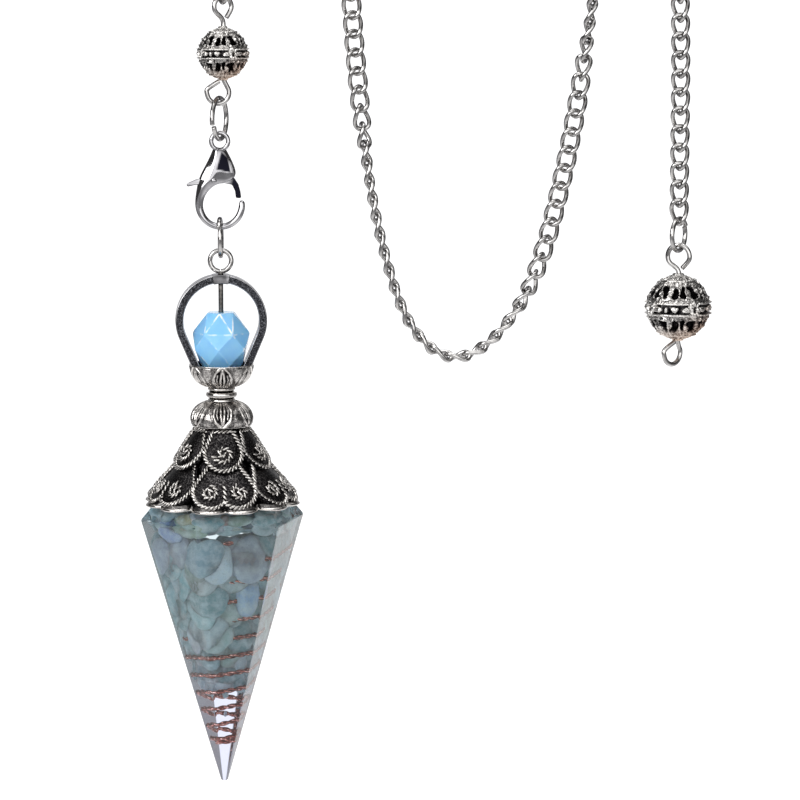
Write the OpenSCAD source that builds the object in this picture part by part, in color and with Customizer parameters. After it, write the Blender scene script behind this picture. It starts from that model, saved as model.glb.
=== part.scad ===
// Pendulum pendant hanging from its own chain: a six-sided resin point with a copper coil and
// stone chips, a filigree skirt cap, a bead in a hoop, a lobster clasp and a curb chain.
// The origin is the top of the arch where the chain hangs. X runs to the right, Z up.

/* [Chain] */
// Distance from one link to the next
link_pitch = 2.28; // [2.2:0.01:2.4]
// Thickness of the links' wire
link_wire = 0.55; // [0.45:0.01:0.58]
// Outer width of a link
link_w = 2.5; // [2.3:0.05:2.8]
// How far the link's quarters rise out of its plane
link_curl = 0.42; // [0.36:0.01:0.48]
// Play left between two links' wires where they pull on each other
link_play = 0.21; // [0.18:0.01:0.24]
// Half the distance between the two strands under the first arch
first_arch_r = 8.1; // [7.6:0.1:8.6]

/* [Clearances] */
// Gap between the metal of two rings, eyes or links that hang in each other
hang_gap = 0.13; // [0.1:0.01:0.15]
// Gap between two pieces that are stacked on one pin
stack_gap = 0.06; // [0.04:0.01:0.1]
// Gap between the pin and the holes that it goes through
pin_gap = 0.06; // [0.04:0.01:0.1]

/* [Rings and eyes] */
// Thickness of the jump rings' wire
ring_wire = 0.6; // [0.5:0.01:0.65]
// Outer diameter of the ring that carries the clasp
clasp_ring_d = 5.7; // [5:0.1:6]
// Outer diameter of the ring in the clasp's hook
drop_ring_d = 5.2; // [4.8:0.1:5.6]
// Outer diameter of the ring at the chain's free end
end_ring_d = 4.6; // [4.4:0.1:5.2]
// Thickness of the eye pins' wire
eye_wire = 0.6; // [0.5:0.01:0.65]
// Outer diameter of the eye above the small filigree bead
upper_eye_d = 2.9; // [2.8:0.05:3.2]
// Outer diameter of the eye below the small filigree bead
lower_eye_d = 3.3; // [3:0.05:3.6]
// Outer diameter of the eyes on the large filigree bead
end_eye_d = 3.4; // [3.2:0.05:3.8]
// Length of wire that shows between an eye and its bead
eye_stem = 0.1; // [0.05:0.05:0.5]
// Length of the bare shaft above the small filigree bead
upper_shaft = 1.2; // [0.5:0.1:1.6]
// Length of the bare shaft above the large filigree bead
end_shaft = 0.65; // [0.3:0.05:1]
// How far the lower eyes are bent to the left of their beads' axes
eye_shift = 0.65; // [0:0.05:0.9]

/* [Filigree beads] */
// How far the small filigree bead hangs to the right of the clasp
bead_shift = 0.5; // [0:0.05:0.6]
// Diameter of the small filigree bead
small_bead_d = 6.2; // [5.6:0.1:6.8]
// Diameter of the large filigree bead
large_bead_d = 8; // [7.2:0.1:9]
// Wall of the filigree beads
filigree_wall = 0.55; // [0.4:0.05:0.8]
// Slanted slots in each half of a filigree bead
filigree_slots = 10; // [8:1:12]
// Width of a slanted slot
slot_w = 0.5; // [0.3:0.05:0.6]
// Height of the studded belt on a filigree bead
belt_h = 0.95; // [0.7:0.05:1.2]
// Studs on the belt
belt_studs = 20; // [12:4:24]

/* [Clasp] */
// Outer diameter of the eye on top of the clasp
clasp_eye_d = 2.6; // [2.4:0.05:3]
// Hole in the eye on top of the clasp
clasp_eye_hole = 1.6; // [1.4:0.05:1.7]
// Thickness of the eye on top of the clasp, front to back
clasp_eye_t = 1.1; // [1:0.1:1.4]
// Distance from the clasp's eye down to the middle of its hook
clasp_len = 7.9; // [7.4:0.1:8.4]
// Outer diameter of the hook
hook_d = 6.3; // [5.8:0.1:6.6]
// Thickness of the hook's bar
hook_bar = 1; // [0.8:0.05:1.1]
// Thickness of the clasp's body, front to back
clasp_t = 2.1; // [1.8:0.1:2.6]
// Thickness of the lever
lever_t = 0.8; // [0.6:0.05:1]
// Gap on each side of the lever in its slot
lever_gap = 0.1; // [0.08:0.01:0.15]
// Diameter of the pin that the lever turns on
lever_pin_d = 0.7; // [0.5:0.05:0.8]
// How far the lever opens, in degrees
lever_open = 20; // [15:1:22]

/* [Pendant] */
// Turn of the whole pendant about its own axis, in degrees
pendant_turn = 5; // [0:1:10]
// Outer diameter of the eye on top of the pendant
pendant_eye_d = 3.25; // [3:0.05:3.5]
// Thickness of the pendant's pin
pin_wire = 0.62; // [0.5:0.02:0.7]
// How far the pin reaches into the resin
pin_in_resin = 2.2; // [1:0.1:3]

/* [Bail hoop and bead] */
// Outer diameter of the round upper part of the hoop
hoop_d = 11.4; // [10.8:0.1:12]
// Outer height of the hoop
hoop_h = 13.4; // [13:0.1:13.8]
// Outer width of the hoop's foot
hoop_foot_w = 7.4; // [7:0.1:7.8]
// Outer radius of the foot's corners
hoop_foot_r = 2.3; // [1.9:0.1:2.6]
// Thickness of the hoop's band, seen from the front
hoop_band = 1; // [0.8:0.05:1.1]
// Depth of the hoop's band, front to back
hoop_deep = 2.4; // [2:0.1:2.8]
// Width of the blue bead across its corners
blue_bead_d = 7.2; // [6.6:0.1:7.6]
// Height of the blue bead
blue_bead_h = 7.5; // [6.8:0.1:7.6]
// Width of the blue bead's flat ends across their corners
blue_bead_end_d = 3.7; // [3.2:0.1:4.4]
// Width of the blue bead across its corners near its foot
blue_bead_foot_d = 5.4; // [4.6:0.1:5.5]
// Corners round the blue bead
blue_bead_sides = 6; // [5:1:8]

/* [Cup, spacer and dome] */
// Diameter of the cup's rim
cup_d = 8.05; // [7.8:0.05:8.6]
// Height of the cup
cup_h = 2.75; // [2.6:0.05:3]
// Diameter of the cup's foot
cup_foot_d = 3.4; // [3:0.1:3.8]
// Wall of the cup and the dome
cap_wall = 0.45; // [0.4:0.05:0.5]
// Height of the leaf relief on the cup and the dome
leaf_h = 0.14; // [0.08:0.02:0.2]
// Leaves round the cup and the dome
leaf_count = 6; // [5:1:8]
// Height of the notches' floor, where the hoop's legs leave the cup
notch_floor = 1; // [0.8:0.1:1.4]
// Diameter of the spacer
spacer_d = 3.9; // [3.6:0.1:4.4]
// Height of the spacer
spacer_h = 1.9; // [1.7:0.05:2.1]
// Diameter of the dome cap
dome_d = 7.8; // [7.4:0.1:8.2]
// Height of the dome cap
dome_h = 3; // [2.8:0.05:3.4]

/* [Skirt cap] */
// Diameter of the skirt's flat top
skirt_top_d = 6.8; // [6.4:0.1:7.2]
// Height of the skirt
skirt_h = 9.6; // [9.2:0.1:10]
// Width across the upper petals' tips
upper_tier_d = 13.1; // [12.6:0.1:13.6]
// Height from the skirt's top down to the upper petals' tips
upper_tier_h = 5.1; // [4.8:0.1:5.4]
// Width of an upper petal
upper_petal_w = 5.2; // [4.8:0.1:5.6]
// How far the lower petals' tips stay inside the resin's corners
tip_inset = 0.7; // [0.5:0.05:1]
// Width of a lower petal
lower_petal_w = 8.4; // [8:0.1:8.8]
// Petals in each tier
petal_count = 6; // [6:1:6]
// Thickness of a petal's plate
petal_t = 0.6; // [0.5:0.05:0.8]
// Width of the rope borders and of the spirals' wire
rope_w = 0.38; // [0.3:0.02:0.44]
// Height of the ropes above the plate
rope_h = 0.34; // [0.2:0.02:0.45]
// Turns in a spiral
scroll_turns = 1.5; // [1:0.25:1.75]
// Wall of the bell under the petals
bell_wall = 0.8; // [0.6:0.05:1]
// Thickness of the scalloped lip under the lower petals
lip_h = 0.35; // [0.25:0.05:0.5]
// Height of the lower petals' tips above the skirt's underside
tip_rise = 0.65; // [0.5:0.05:0.9]

/* [Resin point] */
// Sides of the resin point
resin_sides = 6; // [6:1:6]
// Width of the resin across its corners
resin_d = 20.9; // [20:0.1:21.4]
// Width of the resin's top face across its corners
resin_top_d = 17.6; // [17:0.1:18]
// Height of the bevel above the widest place
resin_bevel_h = 1.9; // [1.6:0.1:2.2]
// Length of the point below the widest place
resin_point_h = 34; // [33:0.2:35]
// Width of the blunt end of the point across its corners
resin_tip_d = 0.9; // [0.6:0.1:1.4]
// Turn of the resin's corners against the hoop, in degrees
resin_turn = 9; // [0:0.5:30]
// Wall between the resin's flat sides and the filled core
resin_wall = 0.5; // [0.4:0.05:1]

/* [Filling] */
// Thickness of the copper coil's wire
coil_wire = 0.5; // [0.4:0.02:0.6]
// Turns of the copper coil
coil_turns = 11; // [8:0.5:12]
// Depth of the coil's first turn below the widest place
coil_top = 1.9; // [1.8:0.1:4]
// Depth of the coil's last turn below the widest place
coil_bottom = 28.2; // [26:0.2:28.6]
// How much wider the first turn's pitch is than the mean one, as a share
coil_opening = 0.12; // [0:0.02:0.2]
// How far the coil's upper turns are shifted to the right and back
coil_shift = 1.2; // [0.8:0.1:1.3]
// Depth below the widest place from which the coil is in the middle
coil_centred = 18; // [15:0.5:21]
// Gap round each thing that lies in the core
fill_gap = 0.16; // [0.12:0.01:0.2]

/* [Hidden] */
$fn = 48;

strand_x = -first_arch_r;
bead_x = strand_x + bead_shift;
link_a = (link_pitch + link_wire + link_play) / 2;
link_b = (link_w - link_wire) / 2;
link_steps = 12;
wire_sides = 5;
// Chosen points of the chain: across, height, and the turn of the links about the chain
ROUTE = [
  [bead_x, -9.3, 72], [bead_x, -7.6, 56], [-6.9, -4.4, 26], [-4.5, -1.35, 6], [0, 0, 0],
  [4.6, -1.35, -30], [7.4, -4.5, -60], [8.1, -8.4, -86], [8.6, -15, -90], [9.2, -21.5, -108],
  [9.9, -27.8, -176], [10.7, -33.4, -180], [12.2, -40.4, -180], [14.2, -46.9, -180],
  [16.4, -50.8, -180], [19.2, -53.2, -180], [22.2, -53.5, -180], [25.2, -51.8, -180],
  [27.8, -48.9, -186], [30.2, -45, -214], [32.3, -39.3, -256], [34, -32.6, -270],
  [35.3, -26.4, -272], [36.3, -20.6, -290], [37.1, -15, -350], [37.7, -11, -360],
  [38.3, -7, -360], [39.9, -3.5, -360], [43.3, -2.1, -362], [46.9, -3.5, -380], [48.4, -7, -402],
  [48.7, -12, -416], [48.8, -20, -420], [48.8, -28, -420], [48.8, -36.6, -420]];
route_fine = 14;

function mix(a, b, t) = a + (b - a) * t;
function spline(p, q, r, s, t) =
  0.5 * (2 * q + (r - p) * t + (2 * p - 5 * q + 4 * r - s) * t * t
         + (3 * q - p - 3 * r + s) * t * t * t);
function clamp(i, n) = max(0, min(n, i));
function route_at(i, t) = let(n = len(ROUTE) - 1)
  spline(ROUTE[clamp(i - 1, n)], ROUTE[i], ROUTE[clamp(i + 1, n)], ROUTE[clamp(i + 2, n)], t);
fine_route = concat([for (i = [0 : len(ROUTE) - 2], k = [0 : route_fine - 1])
                     route_at(i, k / route_fine)], [ROUTE[len(ROUTE) - 1]]);
function flat(p) = [p[0], p[1]];
function run_lengths(pts) = [for (i = 0, s = 0; i < len(pts); i = i + 1,
  s = s + (i < len(pts) ? norm(flat(pts[i]) - flat(pts[i - 1])) : 0)) s];
route_len = run_lengths(fine_route);
link_count = round(route_len[len(route_len) - 1] / link_pitch);
link_step = route_len[len(route_len) - 1] / link_count;
function past(s) = len([for (v = route_len) if (v <= s + 1e-6) 1]) - 1;
function route_point(s) = let(i = min(past(s), len(fine_route) - 2))
  mix(fine_route[i], fine_route[i + 1], (s - route_len[i]) / (route_len[i + 1] - route_len[i]));
joints = [for (i = [0 : link_count]) route_point(i * link_step)];
left_links = floor(link_count / 2);

// A tube through a closed or open row of points, each with its own two side directions
function ring_points(c, u, v, r, sides) =
  [for (k = [0 : sides - 1]) c + r * (cos(360 * k / sides) * u + sin(360 * k / sides) * v)];
function tube_sides(rings, sides, closed) =
  [for (i = [0 : rings - (closed ? 1 : 2)], k = [0 : sides - 1])
    let(a = i * sides, b = ((i + 1) % rings) * sides, m = (k + 1) % sides)
    each [[a + k, b + k, a + m], [a + m, b + k, b + m]]];
function tube_ends(rings, sides) =
  [[for (k = [0 : sides - 1]) k], [for (k = [sides - 1 : -1 : 0]) (rings - 1) * sides + k]];
function unit(v) = v / norm(v);

function link_curve(t) = [link_a * cos(t), link_b * sin(t), link_curl * sin(2 * t)];
function link_run(t) = unit([-link_a * sin(t), link_b * cos(t), 2 * link_curl * cos(2 * t)]);

function eye_r(d, wire) = (d - wire) / 2;
small_r = small_bead_d / 2;
large_r = large_bead_d / 2;
// Heights on the strand with the clasp, from the chain's first link down
first_link_end = joints[0][1] - (link_a - link_step / 2);
upper_eye_z = first_link_end + (link_wire + eye_wire) / 2 + hang_gap - eye_r(upper_eye_d, eye_wire);
small_bead_z = upper_eye_z - upper_eye_d / 2 - upper_shaft - small_r;
lower_eye_z = small_bead_z - small_r - eye_stem - lower_eye_d / 2;
clasp_ring_z = lower_eye_z - eye_r(lower_eye_d, eye_wire) + (eye_wire + ring_wire) / 2 + hang_gap
  - eye_r(clasp_ring_d, ring_wire);
clasp_z = clasp_ring_z - eye_r(clasp_ring_d, ring_wire) + ring_wire / 2 + 1.8 * hang_gap
  - clasp_eye_hole / 2;
hook_z = clasp_z - clasp_len;
hook_bar_z = hook_z - (hook_d - hook_bar) / 2;
drop_ring_z = hook_bar_z + (hook_bar + ring_wire) / 2 + hang_gap - eye_r(drop_ring_d, ring_wire);
drop_pivot_z = drop_ring_z - eye_r(drop_ring_d, ring_wire);
pendant_eye_z = drop_pivot_z + (ring_wire + eye_wire) / 2 + hang_gap
  - eye_r(pendant_eye_d, eye_wire);
// Heights on the pendant, from its eye down
hoop_top = pendant_eye_z - pendant_eye_d / 2 - stack_gap;
hoop_z = hoop_top - hoop_d / 2;
hoop_bottom = hoop_top - hoop_h;
bead_bottom = hoop_bottom + hoop_band + 3 * stack_gap;
cup_bottom = hoop_bottom - stack_gap - cap_wall;
cup_rim = cup_bottom + cup_h;
spacer_top = cup_bottom - stack_gap;
dome_top = spacer_top - spacer_h - stack_gap;
skirt_top = dome_top - dome_h - stack_gap;
skirt_bottom = skirt_top - skirt_h;
resin_top = skirt_bottom - stack_gap;
girdle_z = resin_top - resin_bevel_h;
tip_z = girdle_z - resin_point_h;
pin_bottom = resin_top - pin_in_resin;
pin_hole_r = pin_wire / 2 + pin_gap;
// Heights at the chain's free end
last_joint = joints[link_count];
last_link_end = last_joint[1] - (link_a - link_step / 2);
end_ring_z = last_link_end + (link_wire + ring_wire) / 2 + hang_gap - eye_r(end_ring_d, ring_wire);
end_eye_z = end_ring_z - eye_r(end_ring_d, ring_wire) + (ring_wire + eye_wire) / 2 + hang_gap
  - eye_r(end_eye_d, eye_wire);
large_bead_z = end_eye_z - end_eye_d / 2 - end_shaft - large_r;

module chain_link(i) {
  p = joints[i];
  q = joints[i + 1];
  run = unit([q[0] - p[0], 0, q[1] - p[1]]);
  side = [0, 1, 0];
  rise = cross(run, side);
  turn = (p[2] + q[2]) / 2;
  y_dir = cos(turn) * side + sin(turn) * rise;
  z_dir = cross(run, y_dir);
  middle = [(p[0] + q[0]) / 2, 0, (p[1] + q[1]) / 2];
  place = function (v) v[0] * run + v[1] * y_dir + v[2] * z_dir;
  points = [for (k = [0 : link_steps - 1])
    let(t = 360 * k / link_steps, out = unit([cos(t) * link_b, sin(t) * link_a, 0]),
        dir = link_run(t), u = unit(out - (out * dir) * dir), v = cross(dir, u))
    each ring_points(middle + place(link_curve(t)), place(u), place(v), link_wire / 2, wire_sides)];
  polyhedron(points, tube_sides(link_steps, wire_sides, true));
}

module chain_left() {
  color("gainsboro")
    for (i = [0 : left_links - 1])
      chain_link(i);
}

module chain_right() {
  color("gainsboro")
    for (i = [left_links : link_count - 1])
      chain_link(i);
}

module wire_ring(d, wire) {
  rotate([90, 0, 0])
    rotate_extrude()
      translate([(d - wire) / 2, 0])
        circle(d = wire);
}

// Straight wire through a bead with a round eye above, and one below that is bent to the left
module eye_pin(top_d, top_turn, top_stem, bead_r, bottom_d, bottom_turn) {
  top = bead_r + top_stem + eye_wire / 2;
  bottom_z = -bead_r - eye_stem - bottom_d / 2;
  shaft_end = bottom_z + sqrt(eye_r(bottom_d, eye_wire) ^ 2 - eye_shift ^ 2);
  translate([0, 0, shaft_end])
    cylinder(d = eye_wire, h = top - shaft_end);
  translate([0, 0, top + eye_r(top_d, eye_wire)])
    rotate([0, 0, top_turn])
      wire_ring(top_d, eye_wire);
  translate([-eye_shift, 0, bottom_z])
    rotate([0, 0, bottom_turn])
      wire_ring(bottom_d, eye_wire);
}

module radial(az, lat) {
  rotate([0, 0, az])
    rotate([0, 90 - lat, 0])
      children();
}

module filigree_bead(r) {
  medal_r = 0.27 * r;
  difference() {
    union() {
      sphere(r = r);
      rotate_extrude()
        polygon([[r / 2, -belt_h / 2], [r + 0.08, -belt_h / 2], [r + 0.16, -0.32 * belt_h],
                 [r + 0.06, -0.22 * belt_h], [r + 0.06, 0.22 * belt_h], [r + 0.16, 0.32 * belt_h],
                 [r + 0.08, belt_h / 2], [r / 2, belt_h / 2]]);
      for (i = [0 : belt_studs - 1])
        if (i % (belt_studs / 4) != 0)
          radial(360 * i / belt_studs, 0)
            translate([0, 0, 0.8 * r])
              cylinder(r = 0.26, h = 0.2 * r + 0.28);
      for (i = [0 : 3])
        radial(90 * i, 0)
          translate([0, 0, 0.8 * r])
            cylinder(r = medal_r, h = 0.2 * r + 0.3);
    }
    sphere(r = r - filigree_wall);
    cylinder(r = eye_wire / 2 + pin_gap, h = 4 * r, center = true);
    for (i = [0 : 3])
      radial(90 * i, 0)
        translate([0, 0, 0.7 * r])
          cylinder(r = 0.3 * medal_r, h = r);
    for (up = [0, 1], i = [0 : filigree_slots - 1])
      mirror([0, 0, up])
        radial(360 * (i + up / 2) / filigree_slots + 3, 36)
          rotate([0, 0, 24])
            translate([0, 0, 0.7 * r])
              linear_extrude(height = r)
                slot_shape(0.3 * r, slot_w);
    for (up = [0, 1], i = [0 : 5])
      mirror([0, 0, up])
        radial(60 * i + 7, 64)
          translate([0, 0, 0.7 * r])
            cylinder(r = 0.085 * r, h = r);
  }
}

module slot_shape(l, w) {
  square([l - w, w], center = true);
  for (s = [-1, 1])
    translate([s * (l - w) / 2, 0])
      circle(d = w);
}

module upper_eye_pin() {
  color("silver")
    translate([bead_x, 0, small_bead_z])
      eye_pin(upper_eye_d, 28, upper_shaft, small_r, lower_eye_d, 6);
}

module upper_filigree_bead() {
  color("darkgray")
    translate([bead_x, 0, small_bead_z])
      filigree_bead(small_r);
}

end_x = last_joint[0];
module end_eye_pin() {
  color("silver")
    translate([end_x, 0, large_bead_z])
      eye_pin(end_eye_d, -22, end_shaft, large_r, end_eye_d, 40);
}

module end_filigree_bead() {
  color("darkgray")
    translate([end_x, 0, large_bead_z])
      filigree_bead(large_r);
}

module end_ring() {
  color("gainsboro")
    translate([end_x, 0, end_ring_z])
      rotate([0, 0, 60])
        wire_ring(end_ring_d, ring_wire);
}

module clasp_ring() {
  color("gainsboro")
    translate([strand_x, 0, clasp_ring_z])
      rotate([0, 0, 74])
        wire_ring(clasp_ring_d, ring_wire);
}

module drop_ring() {
  color("gainsboro")
    translate([strand_x, 0, drop_ring_z])
      rotate([0, 0, 90])
        wire_ring(drop_ring_d, ring_wire);
}

// The clasp is drawn flat, across and up from the middle of its eye
lever_pin = [-0.7, -clasp_len + 3.1];
gate_end = [2.3, -clasp_len + 0.9];
lever_steps = 12;

module clasp_body_shape() {
  hook_r = hook_d / 2;
  polygon([
    [-clasp_eye_d / 2 + 0.1, 0], [-1.4, -2.3], [-2.55, -clasp_len + 3.45],
    [-hook_r + 0.15, -clasp_len + 1.6], [-hook_r + 0.03, -clasp_len],
    [-hook_r + hook_bar - 0.05, -clasp_len], [-hook_r + hook_bar + 0.1, -clasp_len + 0.85],
    [-1.6, -clasp_len + 1.6], [-0.9, -clasp_len + 2.2], [0.1, -clasp_len + 2.65],
    [1.2, -clasp_len + 2.85], [2.1, -clasp_len + 3.75], [1.85, -clasp_len + 4.85], [1.3, -1.8],
    [clasp_eye_d / 2 - 0.1, 0]]);
}

// Lever: thumb tab on the left, arm across the body, gate down to the hook's point
module lever_shape(grow) {
  g = grow;
  tip = gate_end;
  polygon([
    [-4.15 - g, lever_pin[1] - 0.35 + g], [-3, lever_pin[1] + 0.1 + g],
    [-1.2, lever_pin[1] + 0.55 + g], [0.6, lever_pin[1] + 0.5 + g],
    [1.9 + g, lever_pin[1] + 0.25 + g], [2.55 + g, tip[1] + 0.9], [tip[0] + 0.25 + g, tip[1] - g],
    [tip[0] - 0.35 - g, tip[1] - g], [1.95 - g, tip[1] + 0.9], [1.4 - g, lever_pin[1] - 0.5 - g],
    [-1.2, lever_pin[1] - 0.55 - g], [-3, lever_pin[1] - 0.5 - g],
    [-4.1 - g, lever_pin[1] - 0.85 - g]]);
}

module upright(t) {
  rotate([90, 0, 0])
    linear_extrude(height = t, center = true)
      children();
}

module clasp_body() {
  hook_r = (hook_d - hook_bar) / 2;
  color("gainsboro")
    translate([strand_x, 0, clasp_z]) {
      difference() {
        union() {
          rotate([90, 0, 0])
            cylinder(d = clasp_eye_d, h = clasp_eye_t, center = true);
          upright(clasp_t)
            clasp_body_shape();
          translate([0, 0, -clasp_len])
            rotate([90, 0, 0])
              rotate([0, 0, 174])
                rotate_extrude(angle = 203)
                  translate([hook_r, 0])
                    circle(d = hook_bar);
        }
        rotate([90, 0, 0])
          cylinder(d = clasp_eye_hole, h = 2 * clasp_t, center = true);
        for (a = [0 : lever_open / lever_steps : lever_open])
          translate([lever_pin[0], 0, lever_pin[1]])
            rotate([0, a, 0])
              translate([-lever_pin[0], 0, -lever_pin[1]])
                upright(lever_t + 2 * lever_gap)
                  lever_shape(lever_gap);
      }
      translate([lever_pin[0], 0, lever_pin[1]])
        rotate([90, 0, 0])
          cylinder(d = lever_pin_d, h = clasp_t, center = true);
    }
}

module clasp_lever() {
  color("dimgray")
    translate([strand_x, 0, clasp_z])
      difference() {
        upright(lever_t)
          lever_shape(0);
        translate([lever_pin[0], 0, lever_pin[1]])
          rotate([90, 0, 0])
            cylinder(r = lever_pin_d / 2 + pin_gap, h = 2 * lever_t, center = true);
      }
}

// Everything on the pendant's pin shares this place and turn
module on_pendant(z) {
  translate([strand_x, 0, z])
    rotate([0, 0, pendant_turn])
      children();
}

module pendant_eye_pin() {
  color("silver")
    translate([strand_x, 0, pendant_eye_z]) {
      wire_ring(pendant_eye_d, eye_wire);
      translate([0, 0, pin_bottom - pendant_eye_z])
        cylinder(d = pin_wire, h = pendant_eye_z - pendant_eye_d / 2 + eye_wire / 2 - pin_bottom);
    }
}

// Outline of the hoop, round above and with two round corners below
function arc(c, r, a0, a1, n) =
  [for (i = [0 : n]) let(a = mix(a0, a1, i / n)) c + r * [cos(a), sin(a)]];
function hoop_outline(k) =
  let(r = hoop_d / 2 - k, f = hoop_foot_r - k, c = [hoop_foot_w / 2 - hoop_foot_r,
      hoop_bottom - hoop_z + hoop_foot_r], gap = norm(c),
      lean = atan2(c[0], -c[1]), side = acos((r - f) / gap), a = -90 + lean + side)
  concat(arc([0, 0], r, a, 180 - a, 26), arc([-c[0], c[1]], f, 180 - a, 270, 7),
         arc(c, f, 270, 360 + a, 7));

module bail_hoop() {
  color("dimgray")
    on_pendant(hoop_z)
      difference() {
        upright(hoop_deep)
          difference() {
            polygon(hoop_outline(0));
            polygon(hoop_outline(hoop_band));
          }
        cylinder(r = pin_hole_r, h = 3 * hoop_h, center = true);
      }
}

// Facetted bead: two flat ends, and two belts of corners turned half a side against each other
module blue_bead() {
  n = blue_bead_sides;
  h = blue_bead_h;
  rings = [[blue_bead_end_d / 2, 0, 0.5], [blue_bead_foot_d / 2, 0.14 * h, 0],
           [blue_bead_d / 2, 0.4 * h, 0.5], [blue_bead_d / 2, 0.66 * h, 0],
           [blue_bead_end_d / 2, h, 0.5]];
  top = len(rings) - 1;
  points = [for (g = rings, i = [0 : n - 1])
    let(a = 360 * (i + g[2]) / n) [g[0] * cos(a), g[0] * sin(a), g[1]]];
  sides = [for (g = [0 : top - 1], i = [0 : n - 1])
    let(a = g * n, b = a + n, m = (i + 1) % n, odd = rings[g][2] > 0)
    each odd ? [[a + i, b + m, b + i], [a + i, a + m, b + m]]
             : [[a + i, a + m, b + i], [a + m, b + m, b + i]]];
  faces = concat([for (f = sides) [f[2], f[1], f[0]]], [[for (i = [0 : n - 1]) i]],
                 [[for (i = [n - 1 : -1 : 0]) top * n + i]]);
  color("skyblue")
    on_pendant(bead_bottom)
      difference() {
        rotate([0, 0, -8])
          polyhedron(points, faces);
        cylinder(r = pin_hole_r, h = 3 * h, center = true);
      }
}

// Half sections of the cup and the dome, from the axis out
cup_shape = [[cup_foot_d / cup_d, 0], [0.6, 0.07], [0.81, 0.32], [0.94, 0.58], [1, 1]];
dome_shape = [[0.95, 0], [1, 0.3], [0.93, 0.58], [0.76, 0.82], [0.44, 1]];

// A bowl through points given as shares of its radius and height, k thinner
function bowl(shape, r, h, k) = [for (p = shape) [p[0] * r - k, p[1] * h]];

module leaf_cap(shape, d, h, leaf) {
  outer = bowl(shape, d / 2 - leaf_h, h, 0);
  raised = bowl(shape, d / 2, h, 0);
  n = len(shape) - 1;
  rotate_extrude()
    polygon(concat([[0, outer[0][1]]], outer, [[0, outer[n][1]]]));
  for (i = [0 : leaf_count - 1], part = [-1, 0, 1])
    rotate([0, 0, 360 * i / leaf_count + part * leaf - 0.38 * leaf])
      rotate_extrude(angle = 0.76 * leaf)
        polygon(concat([[0.2, raised[0][1]]], raised, [[0.2, raised[n][1]]]));
}

leaf_angle = 13;
module cup() {
  color("silver")
    on_pendant(cup_bottom)
      difference() {
        union() {
          leaf_cap(cup_shape, cup_d, cup_h, leaf_angle);
          translate([0, 0, cup_h - 0.45])
            cylinder(d = cup_d, h = 0.45);
        }
        translate([0, 0, cap_wall])
          rotate_extrude()
            polygon(concat([[0, 0]], bowl(cup_shape, cup_d / 2, cup_h, cap_wall),
                           [[0, cup_h]]));
        translate([0, 0, notch_floor + cup_h])
          cube([2 * cup_d, hoop_deep + 2 * stack_gap, 2 * cup_h], center = true);
        translate([0, 0, hoop_z - cup_bottom])
          upright(hoop_deep + 2 * stack_gap)
            polygon(hoop_outline(-stack_gap));
        cylinder(r = pin_hole_r, h = 3 * cup_h, center = true);
      }
}

module spacer() {
  r = spacer_d / 2;
  h = spacer_h;
  color("silver")
    on_pendant(spacer_top - h)
      rotate_extrude()
        polygon([[pin_hole_r, 0], [0.86 * r, 0], [0.9 * r, 0.14 * h], [0.84 * r, 0.26 * h],
                 [0.96 * r, 0.34 * h], [r, 0.5 * h], [0.96 * r, 0.66 * h], [0.84 * r, 0.74 * h],
                 [0.9 * r, 0.88 * h], [0.84 * r, h], [pin_hole_r, h]]);
}

module dome_cap() {
  color("silver")
    on_pendant(dome_top - dome_h)
      difference() {
        union() {
          leaf_cap(dome_shape, dome_d, dome_h, leaf_angle);
          cylinder(d = 0.97 * dome_d, h = 0.4);
        }
        rotate_extrude()
          polygon(concat([[0, 0]], bowl(dome_shape, dome_d / 2, dome_h - cap_wall, cap_wall + leaf_h),
                         [[0, dome_h - cap_wall]]));
        cylinder(r = pin_hole_r, h = 3 * dome_h, center = true);
      }
}

// Petal outlines hang from the origin down; k is how much smaller the outline is drawn
function upper_outline(k, l) =
  let(r = upper_petal_w / 2, top = 0.28 * upper_petal_w - k)
  concat([[-top, -k], [top, -k]], arc([0, r - l], r - k, 12, -192, 18));

function lower_outline(k, l) =
  let(r = 0.29 * lower_petal_w, x = lower_petal_w / 2 - r, top = 0.2 * lower_petal_w - k,
      notch = acos(-x / (r - k)))
  concat([[-top, -k], [top, -k]], arc([x, r - l], r - k, 30, -notch, 11),
         arc([-x, r - l], r - k, notch - 180, -210, 11));

// A flat spiral band from radius r in towards its middle
module scroll(r, dir) {
  n = 26;
  at = function (i, k)
    let(a = 360 * scroll_turns * i / n, q = mix(r, rope_w + 0.15, i / n) - k)
    [dir * q * cos(a), q * sin(a)];
  side = [for (i = [0 : n]) at(i, 0)];
  back = [for (i = [n : -1 : 0]) at(i, rope_w)];
  polygon(concat(side, back));
}

// A petal's plate with its rope border and scrolls, laid against the slope of its tier
module petal(r0, z0, r1, z1, upper) {
  outline = function (k, l) upper ? upper_outline(k, l) : lower_outline(k, l);
  l = norm([r1 - r0, z1 - z0]);
  slope = atan2(z0 - z1, r1 - r0);
  translate([r0, 0, z0])
    rotate([0, 0, 90])
      rotate([slope, 0, 0])
        translate([0, 0, -petal_t]) {
          linear_extrude(height = petal_t)
            polygon(outline(0, l));
          linear_extrude(height = petal_t + rope_h)
            difference() {
              polygon(outline(0, l));
              polygon(outline(rope_w, l));
            }
          linear_extrude(height = petal_t + 0.8 * rope_h)
            if (upper)
              translate([0, 0.47 * upper_petal_w - l])
                scroll(0.29 * upper_petal_w, 1);
            else
              for (s = [-1, 1])
                translate([s * 0.225 * lower_petal_w, 0.27 * lower_petal_w - l])
                  scroll(0.165 * lower_petal_w, s);
        }
}

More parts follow.
